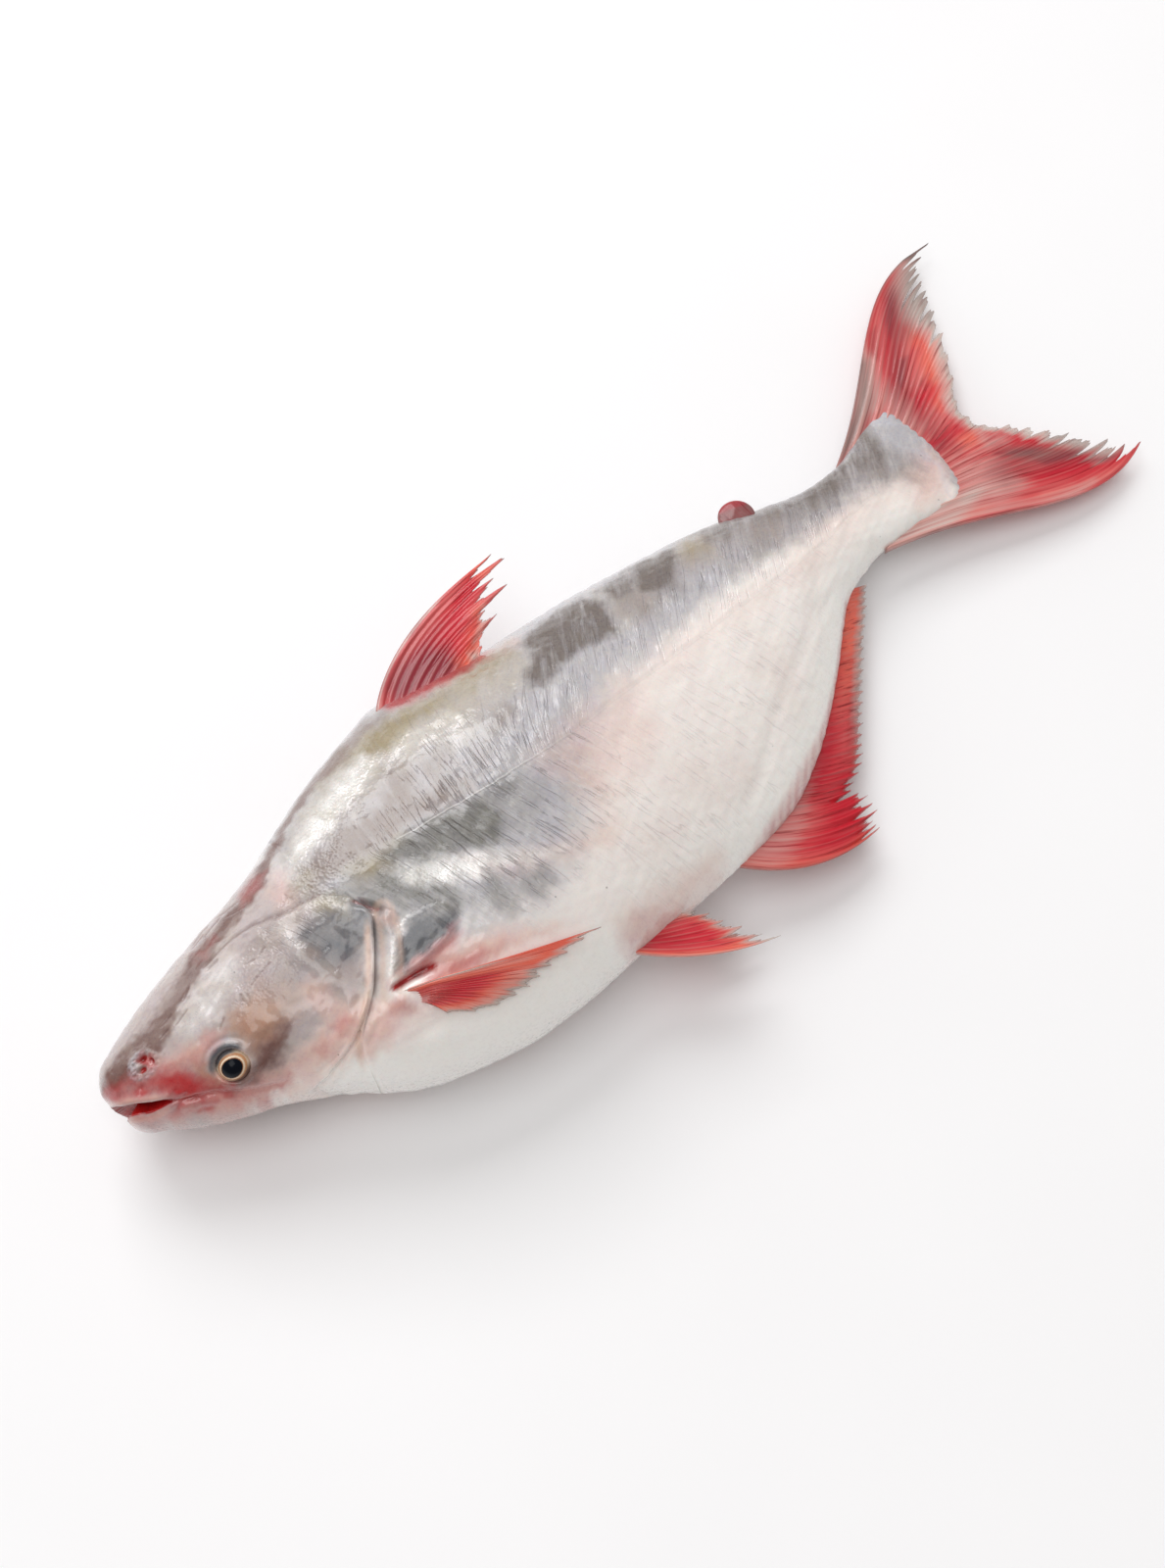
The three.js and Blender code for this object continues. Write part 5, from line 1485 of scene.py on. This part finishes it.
def skin_material(colours):
    """Raw scaleless skin: a thin wet slime coat over silvery, pigmented skin, so broad soft
    gloss, fine fibre streaks, pigment in cloudy patches, and painted highlights and painted shade."""
    material, tree = new_material("raw catfish skin, wet")
    # Settings of a node that lays a colour over another, and of one that multiplies.
    rgba, times = {"data_type": "RGBA", "output": 2}, {"operation": "MULTIPLY"}
    place = add(tree, "TexCoord", output="Object")
    fibre = add(tree, "Attribute", output="Vector", attribute_name="fibre")
    named = {}
    for name in ("fibres", "line", "over_line", "raw", "goose"):
        named[name] = add(tree, "Attribute", output="Fac", attribute_name=name)
    fibres = named["fibres"]
    cloud = add(tree, "TexNoise", {
        "Vector": place, "Scale": per_metre(9), "Detail": 5.0, "Roughness": 0.6,
    })
    grain = add(tree, "TexNoise", {
        "Vector": place, "Scale": per_metre(1.6), "Detail": 3.0, "Roughness": 0.6,
    })
    drift = add(tree, "TexNoise", {"Vector": place, "Scale": per_metre(30), "Detail": 3.0})
    stretched = add(tree, "Mapping", {"Vector": fibre, "Scale": (1.0, 0.2, 0.2)})
    streak = add(tree, "TexNoise", {
        "Vector": stretched, "Scale": per_metre(1.9), "Detail": 3.0, "Roughness": 0.55,
        "Distortion": 0.7,
    })
    wide = add(tree, "Mapping", {"Vector": fibre, "Scale": (1.0, 0.16, 0.16)})
    band = add(tree, "TexNoise", {"Vector": wide, "Scale": per_metre(5), "Detail": 2.0})
    weave = add(tree, "Math", {0: streak, 1: 0.5}, **times)
    weave = add(tree, "Math", {0: band, 1: 0.5, 2: weave}, operation="MULTIPLY_ADD")

    warmth = ragged(tree, drift, cloud, 0.5, 0.3, 0.8)
    colour = add(tree, "Mix", {0: warmth, 6: colours.belly, 7: colours.belly_warm}, **rgba)
    # Each pigment, painted highlight and painted shade, from the deepest coat up, the noise that
    # clouds it, and how strongly.
    coats = [
        ("cream", cloud, 0.5), ("side", weave, 1.2), ("head", cloud, 0.4), ("rose", cloud, 0.4),
        ("warm", weave, 1.2), ("taupe", weave, 2.2), ("olive", weave, 1.8), ("shade", weave, 2.4),
        ("mottle", weave, 2.6), ("crown", cloud, 1.0), ("amber", cloud, 0.8),
        ("silver", cloud, 2.4), ("slate", cloud, 1.1), ("umber", cloud, 0.5),
        ("peach", cloud, 0.7), ("pearl", grain, 1.2), ("flush", cloud, 0.6),
    ]
    for name, noise, amount in coats:
        named[name] = add(tree, "Attribute", output="Fac", attribute_name=name)
        named[name] = clouded(tree, named[name], noise, amount)
        tint = getattr(colours, name)
        colour = add(tree, "Mix", {0: named[name], 6: colour, 7: tint}, **rgba)
    # Muscle fibres under the skin, paler and darker by turns, only over the trunk.
    tone = ragged(tree, streak, band, 0.5, 0.25, 0.75)
    faint = add(tree, "Math", {0: fibres, 1: 0.22}, **times)
    grey = add(tree, "CombineColor", {0: tone, 1: tone, 2: tone})
    colour = add(tree, "MixRGB", {0: faint, 1: colour, 2: grey}, blend_type="OVERLAY")
    mottled = add(tree, "CombineColor", {0: grain, 1: grain, 2: cloud})
    colour = add(tree, "MixRGB", {0: 0.1, 1: colour, 2: mottled}, blend_type="OVERLAY")
    # Wrinkles across the flank, some 4 mm apart: a crease darkened in the colour, which is painted
    # shade, beside a bumped fold that shines.
    thin = add(tree, "Mapping", {"Vector": fibre, "Scale": (1.0, 0.1, 0.1)})
    fold = add(tree, "TexNoise", {
        "Vector": thin, "Scale": per_metre(4.2), "Detail": 2.0, "Roughness": 0.55,
        "Distortion": 0.25,
    })
    fold = add(tree, "Math", {0: fold, 1: 0.5}, operation="SUBTRACT")
    ditch = add(tree, "Math", {0: fold}, operation="ABSOLUTE")
    ditch = add(
        tree, "MapRange", {0: ditch, 2: 0.03, 3: 1.0, 4: 0.0}, interpolation_type="SMOOTHSTEP",
    )
    there = add(tree, "MapRange", {0: cloud, 1: 0.42, 2: 0.6, 3: 0.1})
    there = add(tree, "Math", {0: there, 1: fibres}, **times)
    wrinkle = add(tree, "Math", {0: ditch, 1: there}, **times)
    painted_crease_shade = add(tree, "Math", {0: wrinkle, 1: 0.45}, **times)
    colour = add(tree, "Mix", {0: painted_crease_shade, 6: colour, 7: colours.speck}, **rgba)
    # The lateral line: a pale thread with a darker one under it, [level, width, colour] each.
    wavy = add(
        tree, "Math", {0: cloud, 1: 2.2 * MM, 2: named["over_line"]}, operation="MULTIPLY_ADD",
    )
    for level, width, tint in ((1.1, 0.45, colours.silver), (0.4, 0.4, colours.shade)):
        off = add(tree, "Math", {0: wavy, 1: level * MM}, operation="SUBTRACT")
        off = add(tree, "Math", {0: off}, operation="ABSOLUTE")
        thread = add(tree, "MapRange", {0: off, 2: width * MM, 3: 0.5, 4: 0.0})
        thread = add(tree, "Math", {0: thread, 1: named["line"]}, **times)
        colour = add(tree, "Mix", {0: thread, 6: colour, 7: tint}, **rgba)
    # Melanin specks, a third of a millimetre wide and some 7 mm apart.
    cells = add(tree, "TexVoronoi", {"Vector": place, "Scale": per_metre(7)})
    speck = add(tree, "MapRange", {0: cells, 1: 0.04, 2: 0.075, 3: 0.6, 4: 0.0})
    patchy = add(tree, "MapRange", {0: cloud, 1: 0.53, 2: 0.6})
    speck = add(tree, "Math", {0: speck, 1: patchy}, **times)
    colour = add(tree, "Mix", {0: speck, 6: colour, 7: colours.speck}, **rgba)
    raw = ragged(tree, named["raw"], cloud, 0.2, 0.15, 0.8)
    depth = ragged(tree, cloud, grain, 0.4, 0.35, 0.7)
    flesh_tone = add(tree, "Mix", {0: depth, 6: colours.raw_flesh, 7: colours.raw_dark}, **rgba)
    colour = add(tree, "Mix", {0: raw, 6: colour, 7: flesh_tone}, **rgba)

    # Slime pools in the pores: goose-fleshed skin glitters, the rest shines softly.
    rough = add(tree, "MapRange", {0: grain, 1: 0.3, 2: 0.7, 3: 0.2, 4: 0.4})
    pores = add(tree, "TexVoronoi", {
        "Vector": place, "Scale": per_metre(1.25), "Smoothness": 0.6,
    }, feature="SMOOTH_F1")
    pores = add(tree, "Math", {0: pores, 1: named["goose"]}, **times)
    fine = add(tree, "Math", {0: streak, 1: fibres}, **times)
    fine = add(tree, "Math", {0: wrinkle, 1: -1.0, 2: fine}, operation="MULTIPLY_ADD")
    swell = add(tree, "TexNoise", {"Vector": place, "Scale": per_metre(7), "Detail": 1.0})
    relief = add(tree, "Bump", {"Strength": 0.8, "Distance": 0.45 * MM, "Height": fine})
    for strength, distance, height in ((0.5, 0.8 * MM, swell), (0.55, 0.4 * MM, pores)):
        relief = add(tree, "Bump", {
            "Strength": strength, "Distance": distance, "Height": height, "Normal": relief,
        })
    metallic = add(tree, "Math", {0: named["silver"], 1: 0.25}, **times)
    shader = add(tree, "BsdfPrincipled", {
        "Base Color": colour, "Roughness": rough, "Metallic": metallic, "Normal": relief,
        "IOR": 1.4, "Specular IOR Level": 0.4, "Coat Weight": 0.9, "Coat Roughness": 0.07,
        "Coat IOR": 1.4, "Coat Normal": relief, "Subsurface Weight": 0.12,
        "Subsurface Radius": (1.0, 0.45, 0.35), "Subsurface Scale": 4 * MM,
    })
    add(tree, "OutputMaterial", {"Surface": shader})
    return material


def fin_material(colours):
    """Fin skin: two thin wet skins over bony rays, red with blood, so light shines through."""
    material, tree = new_material("raw fin membrane, blood red")
    rgba = {"data_type": "RGBA", "output": 2}  # of a node that lays a colour over another
    fibre = add(tree, "Attribute", output="Vector", attribute_name="fibre")
    stretched = add(tree, "Mapping", {"Vector": fibre, "Scale": (1.0, 0.06, 1.0)})
    streak = add(tree, "TexNoise", {
        "Vector": stretched, "Scale": per_metre(1.5), "Detail": 4.0, "Roughness": 0.65,
    })
    long = add(tree, "Mapping", {"Vector": fibre, "Scale": (1.0, 0.035, 1.0)})
    bundle = add(tree, "TexNoise", {
        "Vector": long, "Scale": per_metre(4.5), "Detail": 3.0, "Roughness": 0.6,
    })
    named = {}
    for name in ("coral", "deep", "pale", "maroon", "dusk", "ray", "show", "clear"):
        named[name] = add(tree, "Attribute", output="Fac", attribute_name=name)
    thin = ragged(tree, bundle, streak, 0.6, 0.35, 0.8)
    colour = add(tree, "Mix", {0: thin, 6: colours.membrane, 7: colours.membrane_pale}, **rgba)
    # Each colour, from the deepest up, the noise that breaks its border, and how far.
    coats = [
        ("coral", streak, 0.7), ("deep", bundle, 1.0), ("pale", streak, 0.7),
        ("maroon", streak, 0.9), ("dusk", streak, 0.9),
    ]
    for name, noise, broken in coats:
        amount = ragged(tree, named[name], noise, broken, 0.1, 0.95)
        colour = add(tree, "Mix", {0: amount, 6: colour, 7: getattr(colours, name)}, **rgba)
    # Bony rays show pale through the skin, with a blood-dark line beside each.
    shown = add(tree, "Math", {0: named["ray"], 1: named["show"]}, operation="MULTIPLY")
    shown = ragged(tree, shown, bundle, 0.5, 0.2, 1.3)
    colour = add(tree, "Mix", {0: shown, 6: colour, 7: colours.ray}, **rgba)
    dark = add(tree, "MapRange", {0: streak, 1: 0.34, 2: 0.44, 3: 0.6, 4: 0.0})
    colour = add(
        tree, "MixRGB", {0: dark, 1: colour, 2: colours.maroon}, blend_type="MULTIPLY",
    )
    tone = add(tree, "CombineColor", {0: streak, 1: streak, 2: streak})
    colour = add(tree, "MixRGB", {0: 0.45, 1: colour, 2: tone}, blend_type="OVERLAY")
    rough = add(tree, "MapRange", {0: streak, 1: 0.3, 2: 0.7, 3: 0.25, 4: 0.5})
    relief = add(tree, "Bump", {"Strength": 0.5, "Distance": 0.3 * MM, "Height": streak})
    clear = ragged(tree, named["clear"], streak, 0.5, 0.1, 1.0)
    alpha = add(tree, "MapRange", {0: clear, 3: 1.0, 4: 0.3})
    skin = add(tree, "BsdfPrincipled", {
        "Base Color": colour, "Roughness": rough, "Normal": relief, "IOR": 1.4, "Alpha": alpha,
        "Coat Weight": 0.8, "Coat Roughness": 0.12, "Coat IOR": 1.4,
    })
    through = add(tree, "BsdfTranslucent", {"Color": colour, "Normal": relief})
    both = add(tree, "MixShader", {0: 0.22, 1: skin, 2: through})
    add(tree, "OutputMaterial", {"Surface": both})
    return material


def eye_material(colours):
    """Wet eyeball: the cornea's gloss over a black pupil in a thin cream ring and an iris
    of gold grains."""
    material, tree = new_material("fish eye, wet cornea")
    # Settings of a node that lays a colour over another, and of one that eases.
    rgba, smooth = {"data_type": "RGBA", "output": 2}, {"interpolation_type": "SMOOTHSTEP"}
    away = add(tree, "Attribute", output="Fac", attribute_name="away")
    upward = add(tree, "Attribute", output="Fac", attribute_name="upward")
    spoke = add(tree, "Attribute", output="Vector", attribute_name="spoke")
    grain = add(tree, "TexNoise", {
        "Vector": spoke, "Scale": 7.0, "Detail": 4.0, "Roughness": 0.7,
    })
    wobble = add(tree, "Math", {0: grain, 1: 0.5 * MM, 2: away}, operation="MULTIPLY_ADD")
    grains = ragged(tree, grain, upward, 0.35, 0.35, 0.75)
    gold = add(tree, "Mix", {0: grains, 6: colours.iris, 7: colours.iris_dark}, **rgba)
    # From the pupil outwards: [where each ring starts, where it is full, its colour].
    rings = [
        (4.6, 4.8, colours.iris_dark), (4.95, 5.15, colours.iris_rim), (5.5, 6.1, gold),
        (6.6, 7.3, colours.iris_rim), (8.6, 9.4, colours.eye_edge),
    ]
    colour = colours.pupil
    for low, high, tint in rings:
        ring = add(tree, "MapRange", {0: wobble, 1: low * MM, 2: high * MM}, **smooth)
        colour = add(tree, "Mix", {0: ring, 6: colour, 7: tint}, **rgba)
    # The brow shades the top of the eyeball, and the lower lid tints its foot: [level where it
    # starts, level where it is full, strength, ring where it starts, ring where it is full].
    lids = [
        (0.35, 0.85, 1.0, 6.4, 7.4, colours.eye_edge),
        (-0.35, -0.9, 0.9, 6.2, 7.2, colours.lid_shade),
    ]
    for start, full, strength, low, high, tint in lids:
        lid = add(tree, "MapRange", {0: upward, 1: start, 2: full, 4: strength}, **smooth)
        ring = add(tree, "MapRange", {0: wobble, 1: low * MM, 2: high * MM}, **smooth)
        lid = add(tree, "Math", {0: lid, 1: ring}, operation="MULTIPLY")
        colour = add(tree, "Mix", {0: lid, 6: colour, 7: tint}, **rgba)
    shader = add(tree, "BsdfPrincipled", {
        "Base Color": colour, "Roughness": 0.2, "IOR": 1.34, "Specular IOR Level": 0.2,
        "Coat Weight": 0.1, "Coat Roughness": 0.04, "Coat IOR": 1.34,
    })
    add(tree, "OutputMaterial", {"Surface": shader})
    return material


def table_material(colours):
    """Matt laminate table, pale and even, with the faintest mottle."""
    material, tree = new_material("matt laminate table")
    place = add(tree, "TexCoord", output="Object")
    cloud = add(tree, "TexNoise", {"Vector": place, "Scale": per_metre(160), "Detail": 2.0})
    colour = add(
        tree, "Mix", {0: cloud, 6: colours.table, 7: colours.table_shade}, 2, data_type="RGBA",
    )
    shader = add(tree, "BsdfPrincipled", {
        "Base Color": colour, "Roughness": 0.75, "Specular IOR Level": 0.2,
    })
    add(tree, "OutputMaterial", {"Surface": shader})
    return material


# ---- settings
def length_setting(name, description, millimetres):
    """A length, with its default in millimetres."""
    return bpy.props.FloatProperty(
        name=name, description=description, default=millimetres * MM, min=0.0, unit="LENGTH",
        precision=5,
    )


def colour_setting(name, description, code):
    """A colour, with its default as sRGB hex."""
    return bpy.props.FloatVectorProperty(
        name=name, description=description, subtype="COLOR", size=3, default=linear(code),
        min=0.0, max=1.0,
    )


def count_setting(name, description, number):
    """A whole number of mesh points."""
    return bpy.props.IntProperty(name=name, description=description, default=number, min=8)


def light_setting(name, description, watts):
    """The power of a light, in watts."""
    return bpy.props.FloatProperty(
        name=name, description=description, default=watts, min=0.0, unit="POWER",
    )


class CatfishSizes(bpy.types.PropertyGroup):
    """Sizes of the mesh and of the eyes"""

    skin_step: length_setting("Skin step", "Distance between the rings of the head's mesh", 0.72)
    points_left: count_setting("Points left", "Points over the upper flank", 200)
    points_right: count_setting("Points right", "Points over the flank below", 80)
    eye_radius: length_setting("Eye radius", "Radius of the eyeball", 7.6)
    cornea_radius: length_setting("Cornea radius", "Radius of the clear dome", 5.6)
    cornea_bulge: length_setting("Cornea bulge", "Height of the clear dome over the eyeball", 0.9)
    eye_proud: length_setting("Eye proud", "How far the eyeball stands out of the skin", 2.6)


class CatfishSkinColours(bpy.types.PropertyGroup):
    """Colours of the skin"""

    belly: colour_setting("Belly", "White of the belly", "#F1EBE7")
    belly_warm: colour_setting("Warm belly", "Clouds in the white of the belly", "#EADFDA")
    cream: colour_setting("Cream", "Lowest part of the belly", "#F9F6F2")
    side: colour_setting("Side", "Lilac grey of the flank", "#B4B1B5")
    head: colour_setting("Head", "Pinkish grey of the head", "#B5A8A6")
    rose: colour_setting("Rose", "Blood showing faintly through thin skin", "#DDB3A8")
    warm: colour_setting("Warm", "Pale warm grey of the upper flank", "#B8AFA4")
    taupe: colour_setting("Taupe", "Brown-grey clouds of the upper flank", "#8E817C")
    olive: colour_setting("Olive", "Beige of the back", "#9C8F76")
    shade: colour_setting("Shade", "Grey-green under the lateral line", "#716F6B")
    mottle: colour_setting("Mottle", "Dark mottles of the back", "#736A66")
    crown: colour_setting("Crown", "Brown-grey top of the head", "#7A615B")
    slate: colour_setting("Slate", "Blue-black of the shoulder and gill cover", "#5A5B5F")
    # Brown of the skin, and also painted shade: in the head's creases, in the gill slit, and partly
    # at the dorsal fin's foot.
    umber: colour_setting("Umber", "Brown around the eye and on the snout", "#67423A")
    amber: colour_setting("Amber", "Orange-brown patch behind the eye", "#B98A6E")
    peach: colour_setting("Peach", "Edge of the gill cover", "#DDBEAE")
    # The skin's silvering, and the colour of the painted highlights.
    silver: colour_setting("Silver", "Silvery sheen", "#ECE9E6")
    pearl: colour_setting("Pearl", "Bluish white at the tail base and nostril", "#C3C2CB")
    # Blood near the skin, and partly the dorsal fin's painted shadow at its foot.
    flush: colour_setting("Flush", "Blood near the skin", "#B02E30")
    # Dark specks, and also the painted shade in the flank's wrinkle creases.
    speck: colour_setting("Speck", "Dark specks", "#5C5450")
    raw_flesh: colour_setting("Raw flesh", "Inside the mouth and gill slit", "#B41A1A")
    raw_dark: colour_setting("Raw dark", "Deepest part of the mouth", "#74090D")


class CatfishFinColours(bpy.types.PropertyGroup):
    """Colours of the fins"""

    membrane: colour_setting("Membrane", "Red skin between the rays", "#DE5458")
    membrane_pale: colour_setting("Pale membrane", "Paler skin between the rays", "#EC8A84")
    deep: colour_setting("Deep red", "Where the blood gathers", "#DC1C34")
    maroon: colour_setting("Maroon", "Darkest red at the base", "#902636")
    coral: colour_setting("Coral", "Orange towards the edge", "#FA7660")
    ray: colour_setting("Ray", "Pale bony rays", "#E8A89E")
    # Bloodless edge, and also the painted highlights on the pectoral fin's first ray and on the
    # adipose fin's top.
    pale: colour_setting("Pale edge", "Bloodless edge", "#DDD0C8")
    dusk: colour_setting("Dusk", "Grey pigment streaks", "#7A6E6A")


class CatfishEyeColours(bpy.types.PropertyGroup):
    """Colours of the eyes"""

    pupil: colour_setting("Pupil", "Blue-black pupil", "#060A14")
    iris_rim: colour_setting("Iris rim", "Cream ring round the pupil", "#E2CDB4")
    iris: colour_setting("Iris", "Gold of the iris", "#C4906A")
    iris_dark: colour_setting("Dark iris", "Darker grains of the iris", "#9A6A4C")
    eye_edge: colour_setting("Eye edge", "Slate skin at the edge of the eyeball", "#4E4B4E")
    lid_shade: colour_setting("Lid shade", "Brown edge over the lower lid", "#67423A")


class CatfishStudio(bpy.types.PropertyGroup):
    """Colours and lights of the stage"""

    table: colour_setting("Table", "Table top", "#F8F8FA")
    table_shade: colour_setting("Table shade", "Faint mottle of the table top", "#F4F4F6")
    world: colour_setting("Room", "Light of the white room", "#FBF7F2")
    room_light: bpy.props.FloatProperty(
        name="Room light", description="Strength of the room's light", default=0.37, min=0.0,
    )
    key_light: light_setting("Key light", "Power of the large softbox", 84.0)
    fill_light: light_setting("Fill light", "Power of the softbox overhead", 34.0)
    rim_light: light_setting("Rim light", "Power of the low softbox behind", 11.0)


# ---- operators
class FISH_OT_body(bpy.types.Operator):
    """Builds the skin of the head and trunk"""

    bl_idname = "fish.body"
    bl_label = "Head and trunk"

    def execute(self, context):
        scene = context.scene
        body = body_piece(scene.catfish_sizes, skin_material(scene.catfish_skin))
        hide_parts("fish")
        return {"FINISHED"}


class FISH_OT_fins(bpy.types.Operator):
    """Builds every fin"""

    bl_idname = "fish.fins"
    bl_label = "Fins"

    def execute(self, context):
        material = fin_material(context.scene.catfish_fins)
        fin_piece("dorsal_fin", DORSAL_FIN, dorsal_height, dorsal_masks, material)
        fin_piece("tail_fin", TAIL_FIN, tail_height, tail_masks, material)
        fin_piece("anal_fin", ANAL_FIN, anal_height, anal_masks, material)
        adipose_piece(material)
        for word, side in SIDES.items():
            name, height, tuck = "pelvic_fin_" + word, pelvic_height(side), PELVIC_TUCK[side]
            fin_piece(name, PELVIC_FIN, height, pelvic_masks, material, tuck)
            name, height = "pectoral_fin_" + word, pectoral_height(side)
            fin_piece(name, PECTORAL_FIN, height, pectoral_masks, material)
        return {"FINISHED"}


class FISH_OT_eyes(bpy.types.Operator):
    """Builds both eyeballs"""

    bl_idname = "fish.eyes"
    bl_label = "Eyes"

    def execute(self, context):
        scene = context.scene
        material = eye_material(scene.catfish_eyes)
        for word, side in SIDES.items():
            node = "eye_" + word
            ball = eye_piece("eyeball_" + word, side, scene.catfish_sizes, material)
            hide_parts(node)
        return {"FINISHED"}


def aim(thing, place, target):
    """Puts the camera or a light in its place and turns it towards a target."""
    thing.location = place
    thing.rotation_euler = (Vector(target) - Vector(place)).to_track_quat("-Z", "Y").to_euler()


class FISH_OT_studio(bpy.types.Operator):
    """Lays the table, and sets the lights and the camera"""

    bl_idname = "fish.studio"
    bl_label = "Studio"

    def execute(self, context):
        scene = context.scene
        studio = scene.catfish_studio
        half = TABLE_SIDE / 2
        corners = [(-half, -half, 0), (half, -half, 0), (half, half, 0), (-half, half, 0)]
        mesh = bpy.data.meshes.new("table")
        mesh.from_pydata(corners, [], [(0, 1, 2, 3)])
        mesh.materials.append(table_material(studio))
        table = placed("table", mesh)

        lens = bpy.data.cameras.new("camera")
        lens.lens = CAMERA_LENS
        lens.sensor_width = CAMERA_SENSOR
        lens.clip_start = CAMERA_CLIP
        scene.camera = placed("camera", lens)
        aim(scene.camera, to_frame(np.array(CAMERA_AT)), to_frame(np.array(CAMERA_LOOKS_AT)))

        for name, place, side, power in SOFTBOXES:
            light = bpy.data.lights.new(name, "AREA")
            light.shape = "SQUARE"
            light.size = side
            light.energy = getattr(studio, power)
            aim(placed(name, light), place, (0, 0, 0))
        world = bpy.data.worlds.new("white room")
        world.use_nodes = True
        background = world.node_tree.nodes["Background"]
        background.inputs["Color"].default_value = (*studio.world, 1.0)
        background.inputs["Strength"].default_value = studio.room_light
        scene.world = world
        scene.view_settings.view_transform = "Standard"
        return {"FINISHED"}


class FISH_PT_panel(bpy.types.Panel):
    """Lists the pieces of the fish"""

    bl_label = "Whole raw catfish"
    bl_idname = "FISH_PT_panel"
    bl_space_type = "VIEW_3D"
    bl_region_type = "UI"
    bl_category = "Fish"

    def draw(self, context):
        """Draws a button for each operator and a box for each group of settings"""
        for operator in OPERATORS:
            self.layout.operator(operator.bl_idname)
        for group in SETTINGS:
            settings = getattr(context.scene, group)
            box = self.layout.box()
            for name in settings.__annotations__:
                box.prop(settings, name)


OPERATORS = (FISH_OT_body, FISH_OT_fins, FISH_OT_eyes, FISH_OT_studio)
SETTINGS = {
    "catfish_sizes": CatfishSizes,
    "catfish_skin": CatfishSkinColours,
    "catfish_fins": CatfishFinColours,
    "catfish_eyes": CatfishEyeColours,
    "catfish_studio": CatfishStudio,
}
CLASSES = (*SETTINGS.values(), *OPERATORS, FISH_PT_panel)


def register():
    """Registers the classes, and gives every scene its settings."""
    for group in CLASSES:
        bpy.utils.register_class(group)
    for name, group in SETTINGS.items():
        setattr(bpy.types.Scene, name, bpy.props.PointerProperty(type=group))


def unregister():
    """Takes the settings and the classes out again."""
    for name in SETTINGS:
        delattr(bpy.types.Scene, name)
    for group in reversed(CLASSES):
        bpy.utils.unregister_class(group)


def main():
    """Builds the stage and every piece."""
    register()
    bpy.ops.fish.studio()
    bpy.ops.fish.body()
    bpy.ops.fish.fins()
    bpy.ops.fish.eyes()


if __name__ == "__main__":
    main()
